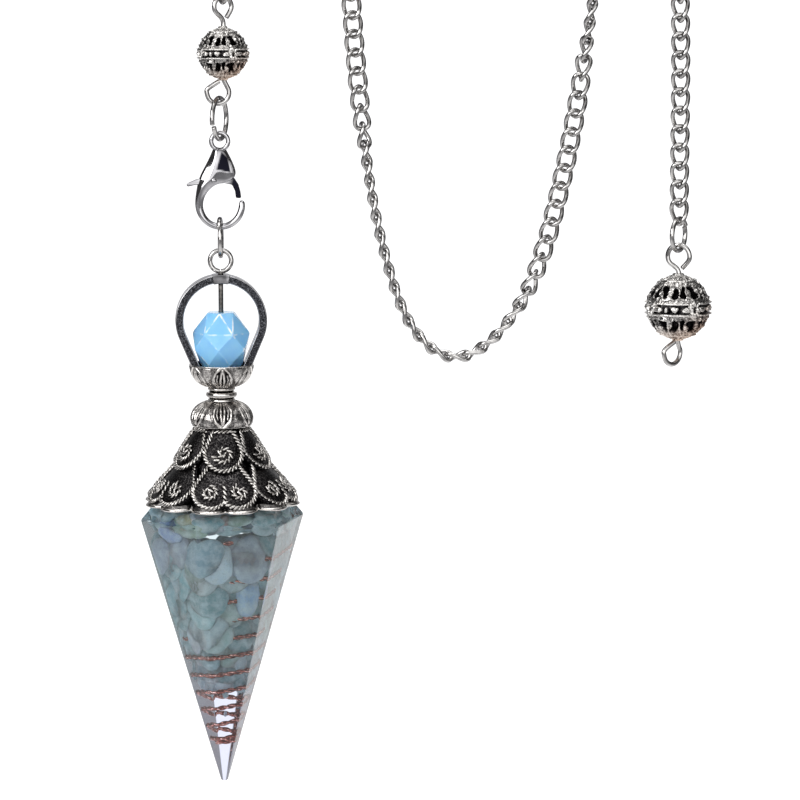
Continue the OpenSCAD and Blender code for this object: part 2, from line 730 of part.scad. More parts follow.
module skirt_cap() {
  top_r = skirt_top_d / 2;
  mid_r = upper_tier_d / 2;
  low_r = resin_d / 2 - tip_inset;
  rim_r = low_r - 2.4;
  lobe_r = 0.29 * lower_petal_w;
  color("silver")
    on_pendant(skirt_top) {
      rotate_extrude()
        polygon([[pin_hole_r, 0], [top_r, 0], [mid_r - 1.2, -upper_tier_h + 0.2],
                 [mid_r - 1.3, -upper_tier_h - 0.2], [rim_r, -skirt_h],
                 [rim_r - bell_wall - 1.2, -skirt_h], [rim_r - bell_wall - 1.2, -skirt_h + 0.7],
                 [mid_r - 1.8 - bell_wall, -upper_tier_h], [top_r - bell_wall, -bell_wall],
                 [pin_hole_r, -bell_wall]]);
      translate([0, 0, -skirt_h])
        linear_extrude(height = lip_h)
          difference() {
            union() {
              circle(r = rim_r + 0.3);
              for (i = [0 : petal_count - 1], s = [-1, 1])
                rotate([0, 0, 360 * i / petal_count - 90])
                  translate([low_r - lobe_r, s * (lower_petal_w / 2 - lobe_r)])
                    circle(r = lobe_r - 0.15);
            }
            circle(r = rim_r - 0.45);
          }
      for (i = [0 : petal_count - 1])
        rotate([0, 0, 360 * i / petal_count - 90]) {
          petal(top_r - 0.3, -rope_h, mid_r, -upper_tier_h, true);
          petal(mid_r - 1.9, -upper_tier_h + 1.1, low_r, -skirt_h + tip_rise, false);
        }
    }
}

module resin_cone() {
  wide = resin_d / 2;
  flat_r = wide * cos(180 / resin_sides);
  top_flat = resin_top_d / 2 * cos(180 / resin_sides);
  color("lightcyan", 0.5)
    on_pendant(girdle_z)
      difference() {
        rotate([0, 0, resin_turn]) {
          translate([0, 0, -resin_point_h])
            cylinder(d1 = resin_tip_d, d2 = resin_d, h = resin_point_h, $fn = resin_sides);
          cylinder(d1 = resin_d, d2 = resin_top_d, h = resin_bevel_h, $fn = resin_sides);
        }
        rotate_extrude()
          polygon([[0, resin_bevel_h + 1], [top_flat - resin_wall, resin_bevel_h + 1],
                   [top_flat - resin_wall, resin_bevel_h], [flat_r - resin_wall, 0],
                   [core_r(coil_bottom + 1), -coil_bottom - 1], [0, -coil_bottom - 1]]);
      }
}

// Radius of the resin's core, and of the coil in it, at a depth below the widest place
function core_r(depth) =
  let(flat_r = resin_d / 2 * cos(180 / resin_sides),
      tip_r = resin_tip_d / 2 * cos(180 / resin_sides))
  mix(flat_r, tip_r, depth / resin_point_h) - resin_wall;
shift_turn = 30;
function shift_at(depth) = coil_shift * max(0, 1 - depth / coil_centred);
function coil_r(depth) = core_r(depth) - coil_wire / 2 - fill_gap - shift_at(depth);
function coil_place(depth, angle) =
  shift_at(depth) * [cos(shift_turn), sin(shift_turn), 0] + [coil_r(depth) * cos(angle),
    coil_r(depth) * sin(angle), -depth];

coil_sides = 5;
coil_steps = 12;
module copper_coil() {
  n = round(coil_turns * coil_steps);
  at = function (i) let(t = i / n)
    coil_place(mix(coil_top, coil_bottom, t * (1 + coil_opening * (1 - t))), -360 * coil_turns * t - 90);
  points = [for (i = [0 : n])
    let(dir = unit(at(min(i + 1, n)) - at(max(i - 1, 0))), u = unit(cross(dir, [0, 0, 1])),
        v = cross(dir, u))
    each ring_points(at(i), u, v, coil_wire / 2, coil_sides)];
  color("peru")
    on_pendant(girdle_z)
      polyhedron(points, concat(tube_sides(n + 1, coil_sides, false), tube_ends(n + 1, coil_sides)));
}

// Rings of stones: depth of their middle, height, stones in the ring, turn of the first from the front
STONE_RINGS = [
  [0.1, 2.6, 9, 4], [4.7, 4.6, 6, -12], [9.5, 4.2, 7, 0], [13.9, 3.8, 6, -28], [17.7, 3, 5, 14]];
// Stones in the middle: depth, height
MIDDLE_STONES = [[4.7, 5.2], [10.4, 4], [14.9, 4], [19, 3.4], [22.3, 2.6], [24.9, 2]];
chip_sides = 6;
thin_stone = 1.15;

// One rough stone: two uneven belts of corners between two points
module chip(w, h, t, seed) {
  n = chip_sides;
  rough = function (i) 0.84 + 0.16 * sin(seed * 97 + i * 131);
  belts = [for (z = [-0.24, 0.22], i = [0 : n - 1])
    let(a = 360 * i / n + (z > 0 ? 22 : 0) + 6 * sin(seed * 53 + i * 71), q = rough(i + (z > 0 ? n : 0)))
    [w / 2 * q * cos(a), t / 2 * q * sin(a), h * z + 0.04 * h * sin(seed * 31 + i * 89)]];
  points = concat(belts, [[0.12 * w * sin(seed * 41), 0, -h / 2], [0.12 * w * cos(seed * 67), 0, h / 2]]);
  faces = concat([for (i = [0 : n - 1]) let(m = (i + 1) % n)
      each [[i, n + i, m], [m, n + i, n + m], [i, m, 2 * n], [n + m, n + i, 2 * n + 1]]]);
  polyhedron(points, faces);
}

// Distance from the resin's axis to the middle of the coil's wire, in a direction from the front
function coil_reach(depth, turn) =
  let(s = shift_at(depth), r = coil_r(depth), a = turn - 90 - shift_turn)
  s * cos(a) + sqrt(r * r - (s * sin(a)) ^ 2);
wall_slope = atan(core_r(0) - core_r(1));
coil_clear = coil_wire / 2 + 1.4 * fill_gap;

// A stone in its own sector, outside the coil where it fits between coil and wall, else inside
module ring_stone(depth, height, sector, turn, seed) {
  beside = [for (k = [-1 : 1]) turn + 0.35 * k * sector];
  over = depth < 0.5 * height;
  outer_in = over ? 0.7 * core_r(0) : max([for (a = beside) coil_reach(depth, a)]) + coil_clear;
  wall = core_r(over ? 1.5 * height - depth : depth) - fill_gap;
  outside = wall - outer_in > thin_stone;
  far = outside ? wall : min([for (a = beside) coil_reach(depth, a)]) - coil_clear;
  thick = outside ? wall - outer_in : 0.36 * far;
  high = height * (0.9 + 0.08 * sin(seed * 77));
  wide = min(1.8 * (far - thick / 2) * tan(sector / 2), 2 * sqrt(far * thick / 2));
  rotate([0, 0, turn - 90])
    translate([far - thick / 2, 0, -depth + 0.4 * (height - high) * cos(seed * 113)])
      rotate([0, over ? 0 : wall_slope, 0])
        rotate([0, 7 * sin(seed * 61), 90])
          chip(wide, high, thick, seed);
}

module middle_stone(depth, height, seed) {
  low = depth + 0.24 * height;
  free_r = min(coil_r(low) - shift_at(low) - coil_clear,
               0.64 * (coil_r(low) + shift_at(low) - coil_clear) - fill_gap);
  rotate([0, 0, 50 * seed])
    translate([0, 0, -depth])
      chip(2 * free_r, height, 1.9 * free_r, seed);
}

module stone_chips() {
  color("powderblue")
    on_pendant(girdle_z) {
      for (g = [0 : len(STONE_RINGS) - 1], i = [0 : STONE_RINGS[g][2] - 1])
        let(ring = STONE_RINGS[g], sector = 360 / ring[2])
          ring_stone(ring[0], ring[1], sector, ring[3] + i * sector, 7 * g + i);
      for (i = [0 : len(MIDDLE_STONES) - 1])
        middle_stone(MIDDLE_STONES[i][0], MIDDLE_STONES[i][1], i);
    }
}

chain_left();
chain_right();
upper_eye_pin();
upper_filigree_bead();
clasp_ring();
clasp_body();
clasp_lever();
drop_ring();
pendant_eye_pin();
bail_hoop();
blue_bead();
cup();
spacer();
dome_cap();
skirt_cap();
resin_cone();
copper_coil();
stone_chips();
end_ring();
end_eye_pin();
end_filigree_bead();
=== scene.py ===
"""The looks of the pendulum pendant: chain, findings, clasp, beads, caps and the resin point."""
import math

import bmesh
import bpy
import numpy as np
from mathutils import Matrix, Quaternion, Vector


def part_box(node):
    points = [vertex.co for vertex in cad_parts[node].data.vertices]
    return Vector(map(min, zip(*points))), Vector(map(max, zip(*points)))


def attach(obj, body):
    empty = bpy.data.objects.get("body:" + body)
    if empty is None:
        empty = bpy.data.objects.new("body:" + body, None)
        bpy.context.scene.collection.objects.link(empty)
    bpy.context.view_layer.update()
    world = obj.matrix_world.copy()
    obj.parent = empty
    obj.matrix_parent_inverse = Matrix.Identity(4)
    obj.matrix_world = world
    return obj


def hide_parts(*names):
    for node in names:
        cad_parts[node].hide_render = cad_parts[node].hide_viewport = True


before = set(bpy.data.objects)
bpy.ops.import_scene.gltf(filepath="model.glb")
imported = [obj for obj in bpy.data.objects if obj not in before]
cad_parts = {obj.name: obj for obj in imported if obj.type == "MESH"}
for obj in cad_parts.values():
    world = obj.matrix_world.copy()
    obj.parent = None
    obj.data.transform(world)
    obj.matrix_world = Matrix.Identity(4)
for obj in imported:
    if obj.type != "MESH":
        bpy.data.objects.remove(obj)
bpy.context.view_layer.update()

bl_info = {
    "name": "Pendulum Pendant",
    "version": (1, 0, 0),
    "blender": (4, 5, 0),
    "location": "3D View > Sidebar > Pendant",
    "description": "Builds the visible pieces of a resin pendulum pendant around its packed frame",
    "category": "Object",
}

MM = 0.001
TAU = 2 * math.pi

# Short names of the nodes that most materials use
MATH, MIX, RANGE = "ShaderNodeMath", "ShaderNodeMix", "ShaderNodeMapRange"
NOISE, RAMP, BUMP = "ShaderNodeTexNoise", "ShaderNodeValToRGB", "ShaderNodeBump"
COMBINE, VECTOR_MATH = "ShaderNodeCombineXYZ", "ShaderNodeVectorMath"
ON_POINTS, MOVE = "GeometryNodeInstanceOnPoints", "GeometryNodeSetPosition"
STORED, CIRCLE = "GeometryNodeInputNamedAttribute", "GeometryNodeCurvePrimitiveCircle"
GRAZING_SHADE_TINT = (0.3, 0.3, 0.32, 1)  # painted shade: a grey tint that darkens the plate's reflection at a flat angle, for dark outlines along the metal's edges


# ---- Colours and nodes

def linear(hex_colour):
    """An sRGB hex colour as linear red, green and blue, and full alpha."""
    parts = [int(hex_colour[i:i + 2], 16) / 255 for i in (0, 2, 4)]
    return (*[c / 12.92 if c <= 0.04045 else ((c + 0.055) / 1.055) ** 2.4 for c in parts], 1)


def add_node(tree, kind, inputs=(), stops=(), **settings):
    """Adds a node with its settings and colour stops, and sets or links its inputs, by name or in order."""
    node = tree.nodes.new(kind)
    for key, value in settings.items():
        setattr(node, key, value)
    for place, _ in stops[1:-1]:
        node.color_ramp.elements.new(place)
    for number, (place, colour) in enumerate(stops):
        stop = node.color_ramp.elements[number]
        stop.position, stop.color = place, linear(colour)
    for key, value in inputs.items() if isinstance(inputs, dict) else enumerate(inputs):
        if isinstance(value, bpy.types.Node):
            value = value.outputs[0]
        if isinstance(value, bpy.types.NodeSocket):
            tree.links.new(value, node.inputs[key])
        else:
            node.inputs[key].default_value = value
    return node


def finish(name):
    """Turns a function that gives a shader's inputs into one that gives the material of that name."""
    def wrap(inputs_of):
        def material(*values):
            made = bpy.data.materials.get(name)
            if not made:
                made = bpy.data.materials.new(name)
                made.use_nodes = True
                tree = made.node_tree
                tree.nodes.clear()
                place = add_node(tree, "ShaderNodeTexCoord").outputs["Object"]
                face = add_node(tree, "ShaderNodeBsdfPrincipled", inputs_of(tree, place, *values))
                add_node(tree, "ShaderNodeOutputMaterial", {"Surface": face})
            return made
        return material
    return wrap


# ---- Materials; a noise's scale is one over the size of its blotches

@finish("bright_nickel_plate")
def nickel_material(tree, place):
    # Bright nickel plate on wire: a mirror with a warm grey tone, fine draw marks and a few dull spots
    spots = add_node(tree, NOISE, {"Vector": place, "Scale": 1 / (0.9 * MM), "Detail": 3})
    marks = add_node(tree, NOISE, {"Vector": place, "Scale": 1 / (0.12 * MM)})
    return {"Base Color": add_node(tree, RAMP, [spots], [(0.3, "A09E9D"), (0.62, "CECCCA")]),
            # the grazing tint is painted shade: it darkens the wire's reflection along its edges
            "Metallic": 1.0, "Specular Tint": GRAZING_SHADE_TINT,
            "Roughness": add_node(tree, RANGE, (spots, 0, 1, 0.05, 0.14)),
            "Normal": add_node(tree, BUMP, {"Height": marks, "Distance": 0.004 * MM, "Strength": 0.5})}


@finish("polished_clasp_plate")
def clasp_material(tree, place):
    # Cast and tumbled clasp: smoother than the wire, with soft waves; near-black is mixed in by a per-point
    # mark, as painted shade and dark reflection in its hollows and on its flanks
    waves = add_node(tree, NOISE, {"Vector": place, "Scale": 1 / (1.6 * MM), "Detail": 1})
    painted_shade = add_node(tree, "ShaderNodeAttribute", attribute_name="painted_shade").outputs["Fac"]
    plate = add_node(tree, RAMP, [waves], [(0.3, "9E9DA0"), (0.7, "C9C8CA")])
    # painted shade: the per-point mark mixes the plate towards near-black
    tone = add_node(tree, MIX, {0: painted_shade, 6: plate, 7: linear("14141C")}, data_type="RGBA")
    # the grazing tint is painted shade: it darkens the clasp's reflection along its edges
    return {"Base Color": tone.outputs[2], "Metallic": 1.0, "Specular Tint": GRAZING_SHADE_TINT,
            "Roughness": add_node(tree, RANGE, (waves, 0, 1, 0.05, 0.12)),
            "Normal": add_node(tree, BUMP, {"Height": waves, "Distance": 0.03 * MM, "Strength": 0.5})}


@finish("antiqued_white_metal")
def antique_material(tree, place):
    # Antiqued cast white metal: tumbled ridges shine, the patina stays black and dull in the recesses
    relief = add_node(tree, "ShaderNodeAttribute", attribute_name="relief").outputs["Fac"]
    grain = add_node(tree, NOISE, {"Vector": place, "Scale": 1 / (0.2 * MM), "Detail": 4, "Roughness": 0.75})
    uneven = add_node(tree, RANGE, (grain, 0.25, 0.75, -0.34, 0.34))
    worn = add_node(tree, MATH, (relief, uneven), operation="ADD")
    tone = add_node(tree, RAMP, [worn], [(0.2, "0C0B0D"), (0.36, "343233"), (0.55, "8E8B89"), (0.8, "DAD6D2")])
    return {"Base Color": tone, "Metallic": 1.0,
            "Roughness": add_node(tree, RANGE, (worn, 0.25, 0.75, 0.42, 0.1)),
            "Normal": add_node(tree, BUMP, {"Height": grain, "Distance": 0.02 * MM, "Strength": 0.6})}


@finish("worn_filigree_plate")
def filigree_material(tree, place):
    # Stamped filigree: worn bright on its grains; its slots and pierced holes, shallow dents here, are painted
    # black as the shade inside the bead, and a painted warm reflection is mixed in on the right and below
    relief, warm = [add_node(tree, "ShaderNodeAttribute", attribute_name=name).outputs["Fac"]
                    for name in ("relief", "warm")]
    grain = add_node(tree, NOISE, {"Vector": place, "Scale": 1 / (0.3 * MM), "Detail": 3, "Roughness": 0.7})
    uneven = add_node(tree, RANGE, (grain, 0.3, 0.7, -0.35, 0.35))
    worn = add_node(tree, MATH, (relief, uneven), operation="ADD")
    silver = [(0.15, "080709"), (0.4, "3C3A3B"), (0.62, "9A9794"), (0.85, "E4E1DD")]
    warm_reflection_ramp = [(0.15, "0A0706"), (0.4, "40302A"), (0.62, "94745F"), (0.85, "D8BFAC")]
    # painted reflection: the warm ramp is mixed in where the bead's warm mark is high
    tone = add_node(tree, MIX, {0: warm, 6: add_node(tree, RAMP, [worn], silver),
                                7: add_node(tree, RAMP, [worn], warm_reflection_ramp)}, data_type="RGBA")
    return {"Base Color": tone.outputs[2], "Metallic": 1.0,
            "Roughness": add_node(tree, RANGE, (worn, 0, 1, 0.45, 0.14))}


@finish("worn_rope_silver")
def rope_material(tree, place):
    # Twisted wire of the same casting: worn bright all over, with patina only in its deepest grooves
    grain = add_node(tree, NOISE, {"Vector": place, "Scale": 1 / (0.35 * MM), "Detail": 3, "Roughness": 0.7})
    return {"Base Color": add_node(tree, RAMP, [grain], [(0.28, "4E4B4A"), (0.44, "A8A4A0"), (0.62, "F0EDE9")]),
            "Metallic": 1.0, "Roughness": add_node(tree, RANGE, (grain, 0, 1, 0.32, 0.14))}


@finish("black_nickel_grain")
def gunmetal_material(tree, place):
    # Black nickel over a sand-cast face: dark, a little sparkling grain, no mirror
    grain = add_node(tree, NOISE, {"Vector": place, "Scale": 1 / (0.14 * MM), "Detail": 4, "Roughness": 0.75})
    return {"Base Color": add_node(tree, RAMP, [grain], [(0.35, "151518"), (0.52, "36373B"), (0.68, "94959C")]),
            "Metallic": 1.0, "Roughness": add_node(tree, RANGE, (grain, 0, 1, 0.62, 0.34)),
            "Normal": add_node(tree, BUMP, {"Height": grain, "Distance": 0.04 * MM, "Strength": 0.9})}


@finish("twisted_copper")
def copper_material(tree, place):
    # Bare copper wire, lightly tarnished brown, with painted highlights: near-white pink patches in its colour
    # stand in for glints
    tarnish_and_glints = add_node(tree, NOISE, {"Vector": place, "Scale": 1 / (0.4 * MM), "Detail": 3, "Roughness": 0.7})
    return {"Base Color": add_node(tree, RAMP, [tarnish_and_glints], [(0.36, "6E302B"), (0.5, "B4695A"), (0.62, "FACDC0")]),
            "Metallic": 1.0, "Roughness": add_node(tree, RANGE, (tarnish_and_glints, 0, 1, 0.28, 0.12))}


@finish("cast_clear_resin")
def resin_material(tree, place):
    # Cast epoxy, polished: glassy facets with a cool tint, a little milky above and clear in the point
    haze = add_node(tree, NOISE, {"Vector": place, "Scale": 1 / (3.0 * MM)})
    height = add_node(tree, "ShaderNodeSeparateXYZ", [place]).outputs["Z"]
    above_point = add_node(tree, RANGE, (height, -0.098, -0.088, 0.0, 1.0))
    patches = add_node(tree, RANGE, (haze, 0, 1, 0.0, 0.05))
    milk = add_node(tree, MATH, (above_point, patches), operation="MULTIPLY")
    return {"Base Color": add_node(tree, RAMP, [above_point], [(0.0, "DCDFF0"), (1.0, "D8E6EA")]),
            "Roughness": 0.015, "IOR": 1.5,
            "Transmission Weight": add_node(tree, MATH, (1.0, milk), operation="SUBTRACT"),
            "Normal": add_node(tree, BUMP, {"Height": haze, "Distance": 0.01 * MM, "Strength": 0.4})}


@finish("cloudy_stone_chips")
def stone_material(tree, place):
    # Tumbled aquamarine, amazonite and lilac chips: cloudy, light passes a little way in
    tone = add_node(tree, "ShaderNodeAttribute", attribute_name="tone").outputs["Color"]
    cloud = add_node(tree, NOISE, {"Vector": place, "Scale": 1 / (1.2 * MM), "Detail": 4, "Roughness": 0.6})
    speck = add_node(tree, NOISE, {"Vector": place, "Scale": 1 / (0.25 * MM), "Detail": 3, "Roughness": 0.7})
    for pattern, start, end, low, high, colour in ((cloud, 0.38, 0.68, 0.18, 0.7, "E8F4F8"),
                                                   (speck, 0.52, 0.75, 0.0, 0.3, "5F7C82")):
        share = add_node(tree, RANGE, (pattern, start, end, low, high))
        tone = add_node(tree, MIX, {0: share, 6: tone, 7: linear(colour)}, data_type="RGBA").outputs[2]
    return {"Base Color": tone, "Roughness": 0.45, "Subsurface Weight": 0.55, "Sheen Weight": 0.5,
            "Sheen Roughness": 0.4, "Subsurface Radius": (0.9, 1.1, 1.2), "Subsurface Scale": 0.0012,
            "Normal": add_node(tree, BUMP, {"Height": speck, "Distance": 0.05 * MM, "Strength": 0.6})}


@finish("milky_blue_facets")
def blue_material(tree, place):
    # Facetted milky blue bead, like dyed quartz: an even sky blue, hardly darker away from the light
    cloud = add_node(tree, NOISE, {"Vector": place, "Scale": 1 / (2.2 * MM), "Detail": 3})
    return {"Base Color": add_node(tree, RAMP, [cloud], [(0.3, "84C6FF"), (0.7, "94D2FF")]), "Roughness": 0.16,
            "IOR": 1.54, "Subsurface Weight": 0.4, "Subsurface Radius": (0.6, 1.0, 1.6),
            "Subsurface Scale": 0.001}


@finish("pale_blue_edges")
def blue_edge_material(tree, place):
    # The ground edges between the bead's facets are painted pale, as painted highlights in thin lines
    cloud = add_node(tree, NOISE, {"Vector": place, "Scale": 1 / (1.5 * MM)})
    return {"Base Color": add_node(tree, RAMP, [cloud], [(0.52, "90CFFF"), (0.68, "F4FCFF")]), "Roughness": 0.1,
            "IOR": 1.54}


@finish("dull_steel_pin")
def steel_pin_material(tree, place):
    # Plain steel pin, darker than the plated rings
    marks = add_node(tree, NOISE, {"Vector": place, "Scale": 1 / (0.4 * MM), "Detail": 3})
    return {"Base Color": add_node(tree, RAMP, [marks], [(0.3, "4A4846"), (0.7, "86837F")]), "Metallic": 1.0,
            "Roughness": add_node(tree, RANGE, (marks, 0, 1, 0.22, 0.4))}


@finish("pale_paper")
def paper_material(tree, place, glow):
    # Matt seamless paper, lit through from behind in the middle and falling off to grey at the sides
    grain = add_node(tree, NOISE, {"Vector": place, "Scale": 1 / (30 * MM)})
    split = add_node(tree, "ShaderNodeSeparateXYZ", [place]).outputs
    # the lit part widens to the back
    wider = add_node(tree, MATH, (split["Y"], 0.11), operation="MULTIPLY")
    edge = add_node(tree, MATH, (wider, 0.08), operation="ADD")
    aside = add_node(tree, MATH, [split["X"]], operation="ABSOLUTE")
    past = add_node(tree, MATH, (aside, edge), operation="SUBTRACT")
    far = add_node(tree, MATH, (add_node(tree, RANGE, (past, 0.0, 0.1, 0.0, 1.0)),
                                add_node(tree, RANGE, (split["Y"], -0.2, 0.02, 1.0, 0.0))), operation="MAXIMUM")
    grey = add_node(tree, RAMP, [grain], [(0.2, "727274"), (0.8, "767678")])
    tone = add_node(tree, MIX, {0: far, 6: grey, 7: linear("8A8A8C")}, data_type="RGBA")
    return {"Base Color": tone.outputs[2], "Roughness": 0.9, "Emission Color": (1, 1, 1, 1),
            "Emission Strength": add_node(tree, RANGE, (far, 0, 1, glow, 0.06))}


# ---- Meshes

FIELDS = {"FLOAT": "value", "QUATERNION": "value", "FLOAT_VECTOR": "vector", "FLOAT_COLOR": "color"}


def mark_points(mesh, name, kind, values):
    """Stores one value of a kind for each point of a mesh."""
    row = np.asarray(values, dtype=np.float32).ravel()
    mesh.attributes.new(name, kind, "POINT").data.foreach_set(FIELDS[kind], row)


def add_piece(name, points, faces, materials, body, replaced=(), values=None, kinds=None):
    """Makes one piece from points in metres; values are per-point attributes, kinds are material numbers."""
    obj = raw_object(name, points, faces, smooth=True)
    for m in materials:
        obj.data.materials.append(m)
    if kinds is not None:
        obj.data.polygons.foreach_set("material_index", list(kinds))
    for key, row in (values or {}).items():
        mark_points(obj.data, key, "FLOAT_COLOR" if np.ndim(row) == 2 else "FLOAT", row)
    return settle(obj, body, replaced)


def settle(obj, body, replaced=()):
    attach(obj, body)
    if replaced:
        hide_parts(*replaced)
    return obj


def grid_faces(rows, cols, wrap_rows=False, wrap_cols=True):
    """Four-sided faces between rows of points, each row cols long."""
    out = []
    for i in range(rows if wrap_rows else rows - 1):
        a, b = i * cols, ((i + 1) % rows) * cols
        for k in range(cols if wrap_cols else cols - 1):
            m = (k + 1) % cols
            out.append((a + k, a + m, b + m, b + k))
    return out


def end_caps(rows, cols):
    """The faces that close both ends of a tube of grid_faces."""
    return [tuple(range(cols - 1, -1, -1)), tuple((rows - 1) * cols + k for k in range(cols))]


def slab(ring, half):
    """A flat plate from a ring of points in the plane of X and Z, half thick to both sides."""
    n = len(ring)
    points = [(p[0], y, p[2]) for y in (-half, half) for p in ring]
    faces = [tuple(range(n)), tuple(range(2 * n - 1, n - 1, -1))]
    return points, faces + [(i, n + i, n + (i + 1) % n, (i + 1) % n) for i in range(n)]


def around(axis, r, degrees, z):
    """A point at a distance from an upright axis, in a direction from +X."""
    a = math.radians(degrees)
    return axis.x + r * math.cos(a), axis.y + r * math.sin(a), z


class Soup:
    """Points and faces of several shapes that become one mesh."""

    def __init__(self):
        self.points, self.faces, self.kinds, self.values = [], [], [], []

    def add(self, points, faces, kind=0, value=1.0):
        start = len(self.points)
        self.points += [tuple(p) for p in points]
        self.faces += [tuple(start + i for i in f) for f in faces]
        self.kinds += [kind] * len(faces)
        self.values += list(value) if hasattr(value, "__len__") else [value] * len(points)


def tube(path, radius, sides=10, closed=False, flat=1.0, up=None):
    """Points and faces of a round wire along a path; radius may be a list."""
    path = [Vector(p) for p in path]
    n = len(path)
    tangents = []
    for i in range(n):
        a = path[(i - 1) % n] if closed or i > 0 else path[i]
        b = path[(i + 1) % n] if closed or i < n - 1 else path[i]
        tangents.append((b - a).normalized())
    side = Vector(up) if up else tangents[0].orthogonal()
    frames = []
    for t in tangents:
        side = (side - side.dot(t) * t).normalized()
        frames.append((side.copy(), t.cross(side)))
    if closed and not up:
        # spread what the frame has turned over the whole loop
        last = (frames[-1][0] - frames[-1][0].dot(tangents[0]) * tangents[0]).normalized()
        miss = math.atan2(last.dot(frames[0][1]), last.dot(frames[0][0]))
    else:
        miss = 0.0
    points = []
    for i, (u, v) in enumerate(frames):
        r = radius[i] if hasattr(radius, "__len__") else radius
        for k in range(sides):
            a = TAU * k / sides - miss * i / n
            points.append(path[i] + r * (math.cos(a) * u + flat * math.sin(a) * v))
    faces = grid_faces(n, sides, wrap_rows=closed)
    if not closed:
        faces += [tuple(range(sides - 1, -1, -1)), tuple((n - 1) * sides + k for k in range(sides))]
    return points, faces


def spline(points, count):
    """Evenly spaced points on a Catmull-Rom curve through the given ones."""
    pts = [Vector(p) for p in points]
    fine = []
    for i in range(len(pts) - 1):
        p = pts[max(i - 1, 0)]
        q, r = pts[i], pts[i + 1]
        s = pts[min(i + 2, len(pts) - 1)]
        for k in range(12):
            t = k / 12
            fine.append(0.5 * (2 * q + (r - p) * t + (2 * p - 5 * q + 4 * r - s) * t * t
                               + (3 * q - p - 3 * r + s) * t ** 3))
    fine.append(pts[-1])
    lengths = [0.0]
    for a, b in zip(fine, fine[1:]):
        lengths.append(lengths[-1] + (b - a).length)
    out, j = [], 0
    for i in range(count):
        want = lengths[-1] * i / (count - 1)
        while j < len(fine) - 2 and lengths[j + 1] < want:
            j += 1
        span = max(lengths[j + 1] - lengths[j], 1e-12)
        out.append(fine[j].lerp(fine[j + 1], (want - lengths[j]) / span))
    return out


def apply_modifiers(obj):
    """Turns an object's evaluated form into a plain mesh."""
    bpy.context.view_layer.update()
    depsgraph = bpy.context.evaluated_depsgraph_get()
    mesh = bpy.data.meshes.new_from_object(obj.evaluated_get(depsgraph), preserve_all_data_layers=True,
                                           depsgraph=depsgraph)
    mesh.name = obj.name
    obj.modifiers.clear()
    obj.data = mesh
    return obj


def raw_object(name, points, faces=(), edges=(), smooth=False):
    mesh = bpy.data.meshes.new(name)
    mesh.from_pydata([tuple(p) for p in points], list(edges), [tuple(f) for f in faces])
    mesh.polygons.foreach_set("use_smooth", [smooth] * len(mesh.polygons))
    mesh.update()
    obj = bpy.data.objects.new(name, mesh)
    bpy.context.scene.collection.objects.link(obj)
    return obj


def recalc(obj):
    bm = bmesh.new()
    bm.from_mesh(obj.data)
    bmesh.ops.remove_doubles(bm, verts=bm.verts, dist=1e-8)
    bmesh.ops.recalc_face_normals(bm, faces=bm.faces)
    bm.to_mesh(obj.data)
    bm.free()
    return obj


def circle_path(centre, r, turn, start=0.0, end=360.0, count=64):
    """Points round an upright circle that is turned about Z by turn degrees; 0 degrees is the right side."""
    t = math.radians(turn)
    across = Vector((math.cos(t), math.sin(t), 0))
    out = []
    for i in range(count):
        a = math.radians(start + (end - start) * i / count)
        out.append(Vector(centre) + r * math.cos(a) * across + Vector((0, 0, r * math.sin(a))))
    return out


def rounded(obj, width_mm, segments=3, angle=30, kind=-1):
    """Bevels a closed shape's sharper edges; kind is the material number of the bevels."""
    recalc(obj)
    mod = obj.modifiers.new("Bevel", "BEVEL")
    mod.width, mod.segments, mod.limit_method = width_mm * MM, segments, "ANGLE"
    mod.angle_limit = math.radians(angle)
    mod.harden_normals = True
    mod.material = kind
    return apply_modifiers(obj)


def smoothed(obj, levels):
    mod = obj.modifiers.new("Subdivision", "SUBSURF")
    mod.levels = mod.render_levels = levels
    return apply_modifiers(obj)


# ---- Places read from the frame

def node_box(name):
    low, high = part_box(name)
    return low, high, (low + high) / 2


def islands(name):
    """The separate solids of a node, each as an array of its different points."""
    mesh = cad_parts[name].data
    co = np.empty(len(mesh.vertices) * 3)
    mesh.vertices.foreach_get("co", co)
    co = co.reshape(-1, 3)
    keys, index = np.unique(np.round(co, 7), axis=0, return_inverse=True)
    index = index.ravel()
    parent = list(range(len(keys)))

    def root(i):
        while parent[i] != i:
            parent[i] = parent[parent[i]]
            i = parent[i]
        return i

    for p in mesh.polygons:
        a = [root(index[v]) for v in p.vertices]
        for b in a[1:]:
            parent[b] = a[0]
    groups = {}
    for i in range(len(keys)):
        groups.setdefault(root(i), []).append(i)
    return [keys[g] for g in groups.values() if len(g) > 3]


def link_places(name):
    """Centre and turn of each link: its long way, its width and its thin way."""
    out = []
    for pts in islands(name):
        centre = pts.mean(0)
        _, axes = np.linalg.eigh(np.cov((pts - centre).T))
        x, y = axes[:, 2], axes[:, 1]
        out.append((centre, Matrix((x, y, np.cross(x, y))).transposed().to_quaternion()))
    return out


# ---- Geometry Nodes

def new_tree(name, sizes):
    """A geometry tree with an input for each size, in metres; returns it and what it is given."""
    tree = bpy.data.node_groups.new(name, "GeometryNodeTree")
    inputs = [("Geometry", "Geometry", None), *[(label, "Float", value) for label, value in sizes.items()],
              ("Material", "Material", None)]
    for label, kind, value in inputs:
        socket = tree.interface.new_socket(label, in_out="INPUT", socket_type="NodeSocket" + kind)
        if value is not None:
            socket.default_value = value
    tree.interface.new_socket("Geometry", in_out="OUTPUT", socket_type="NodeSocketGeometry")
    return tree, tree.nodes.new("NodeGroupInput").outputs


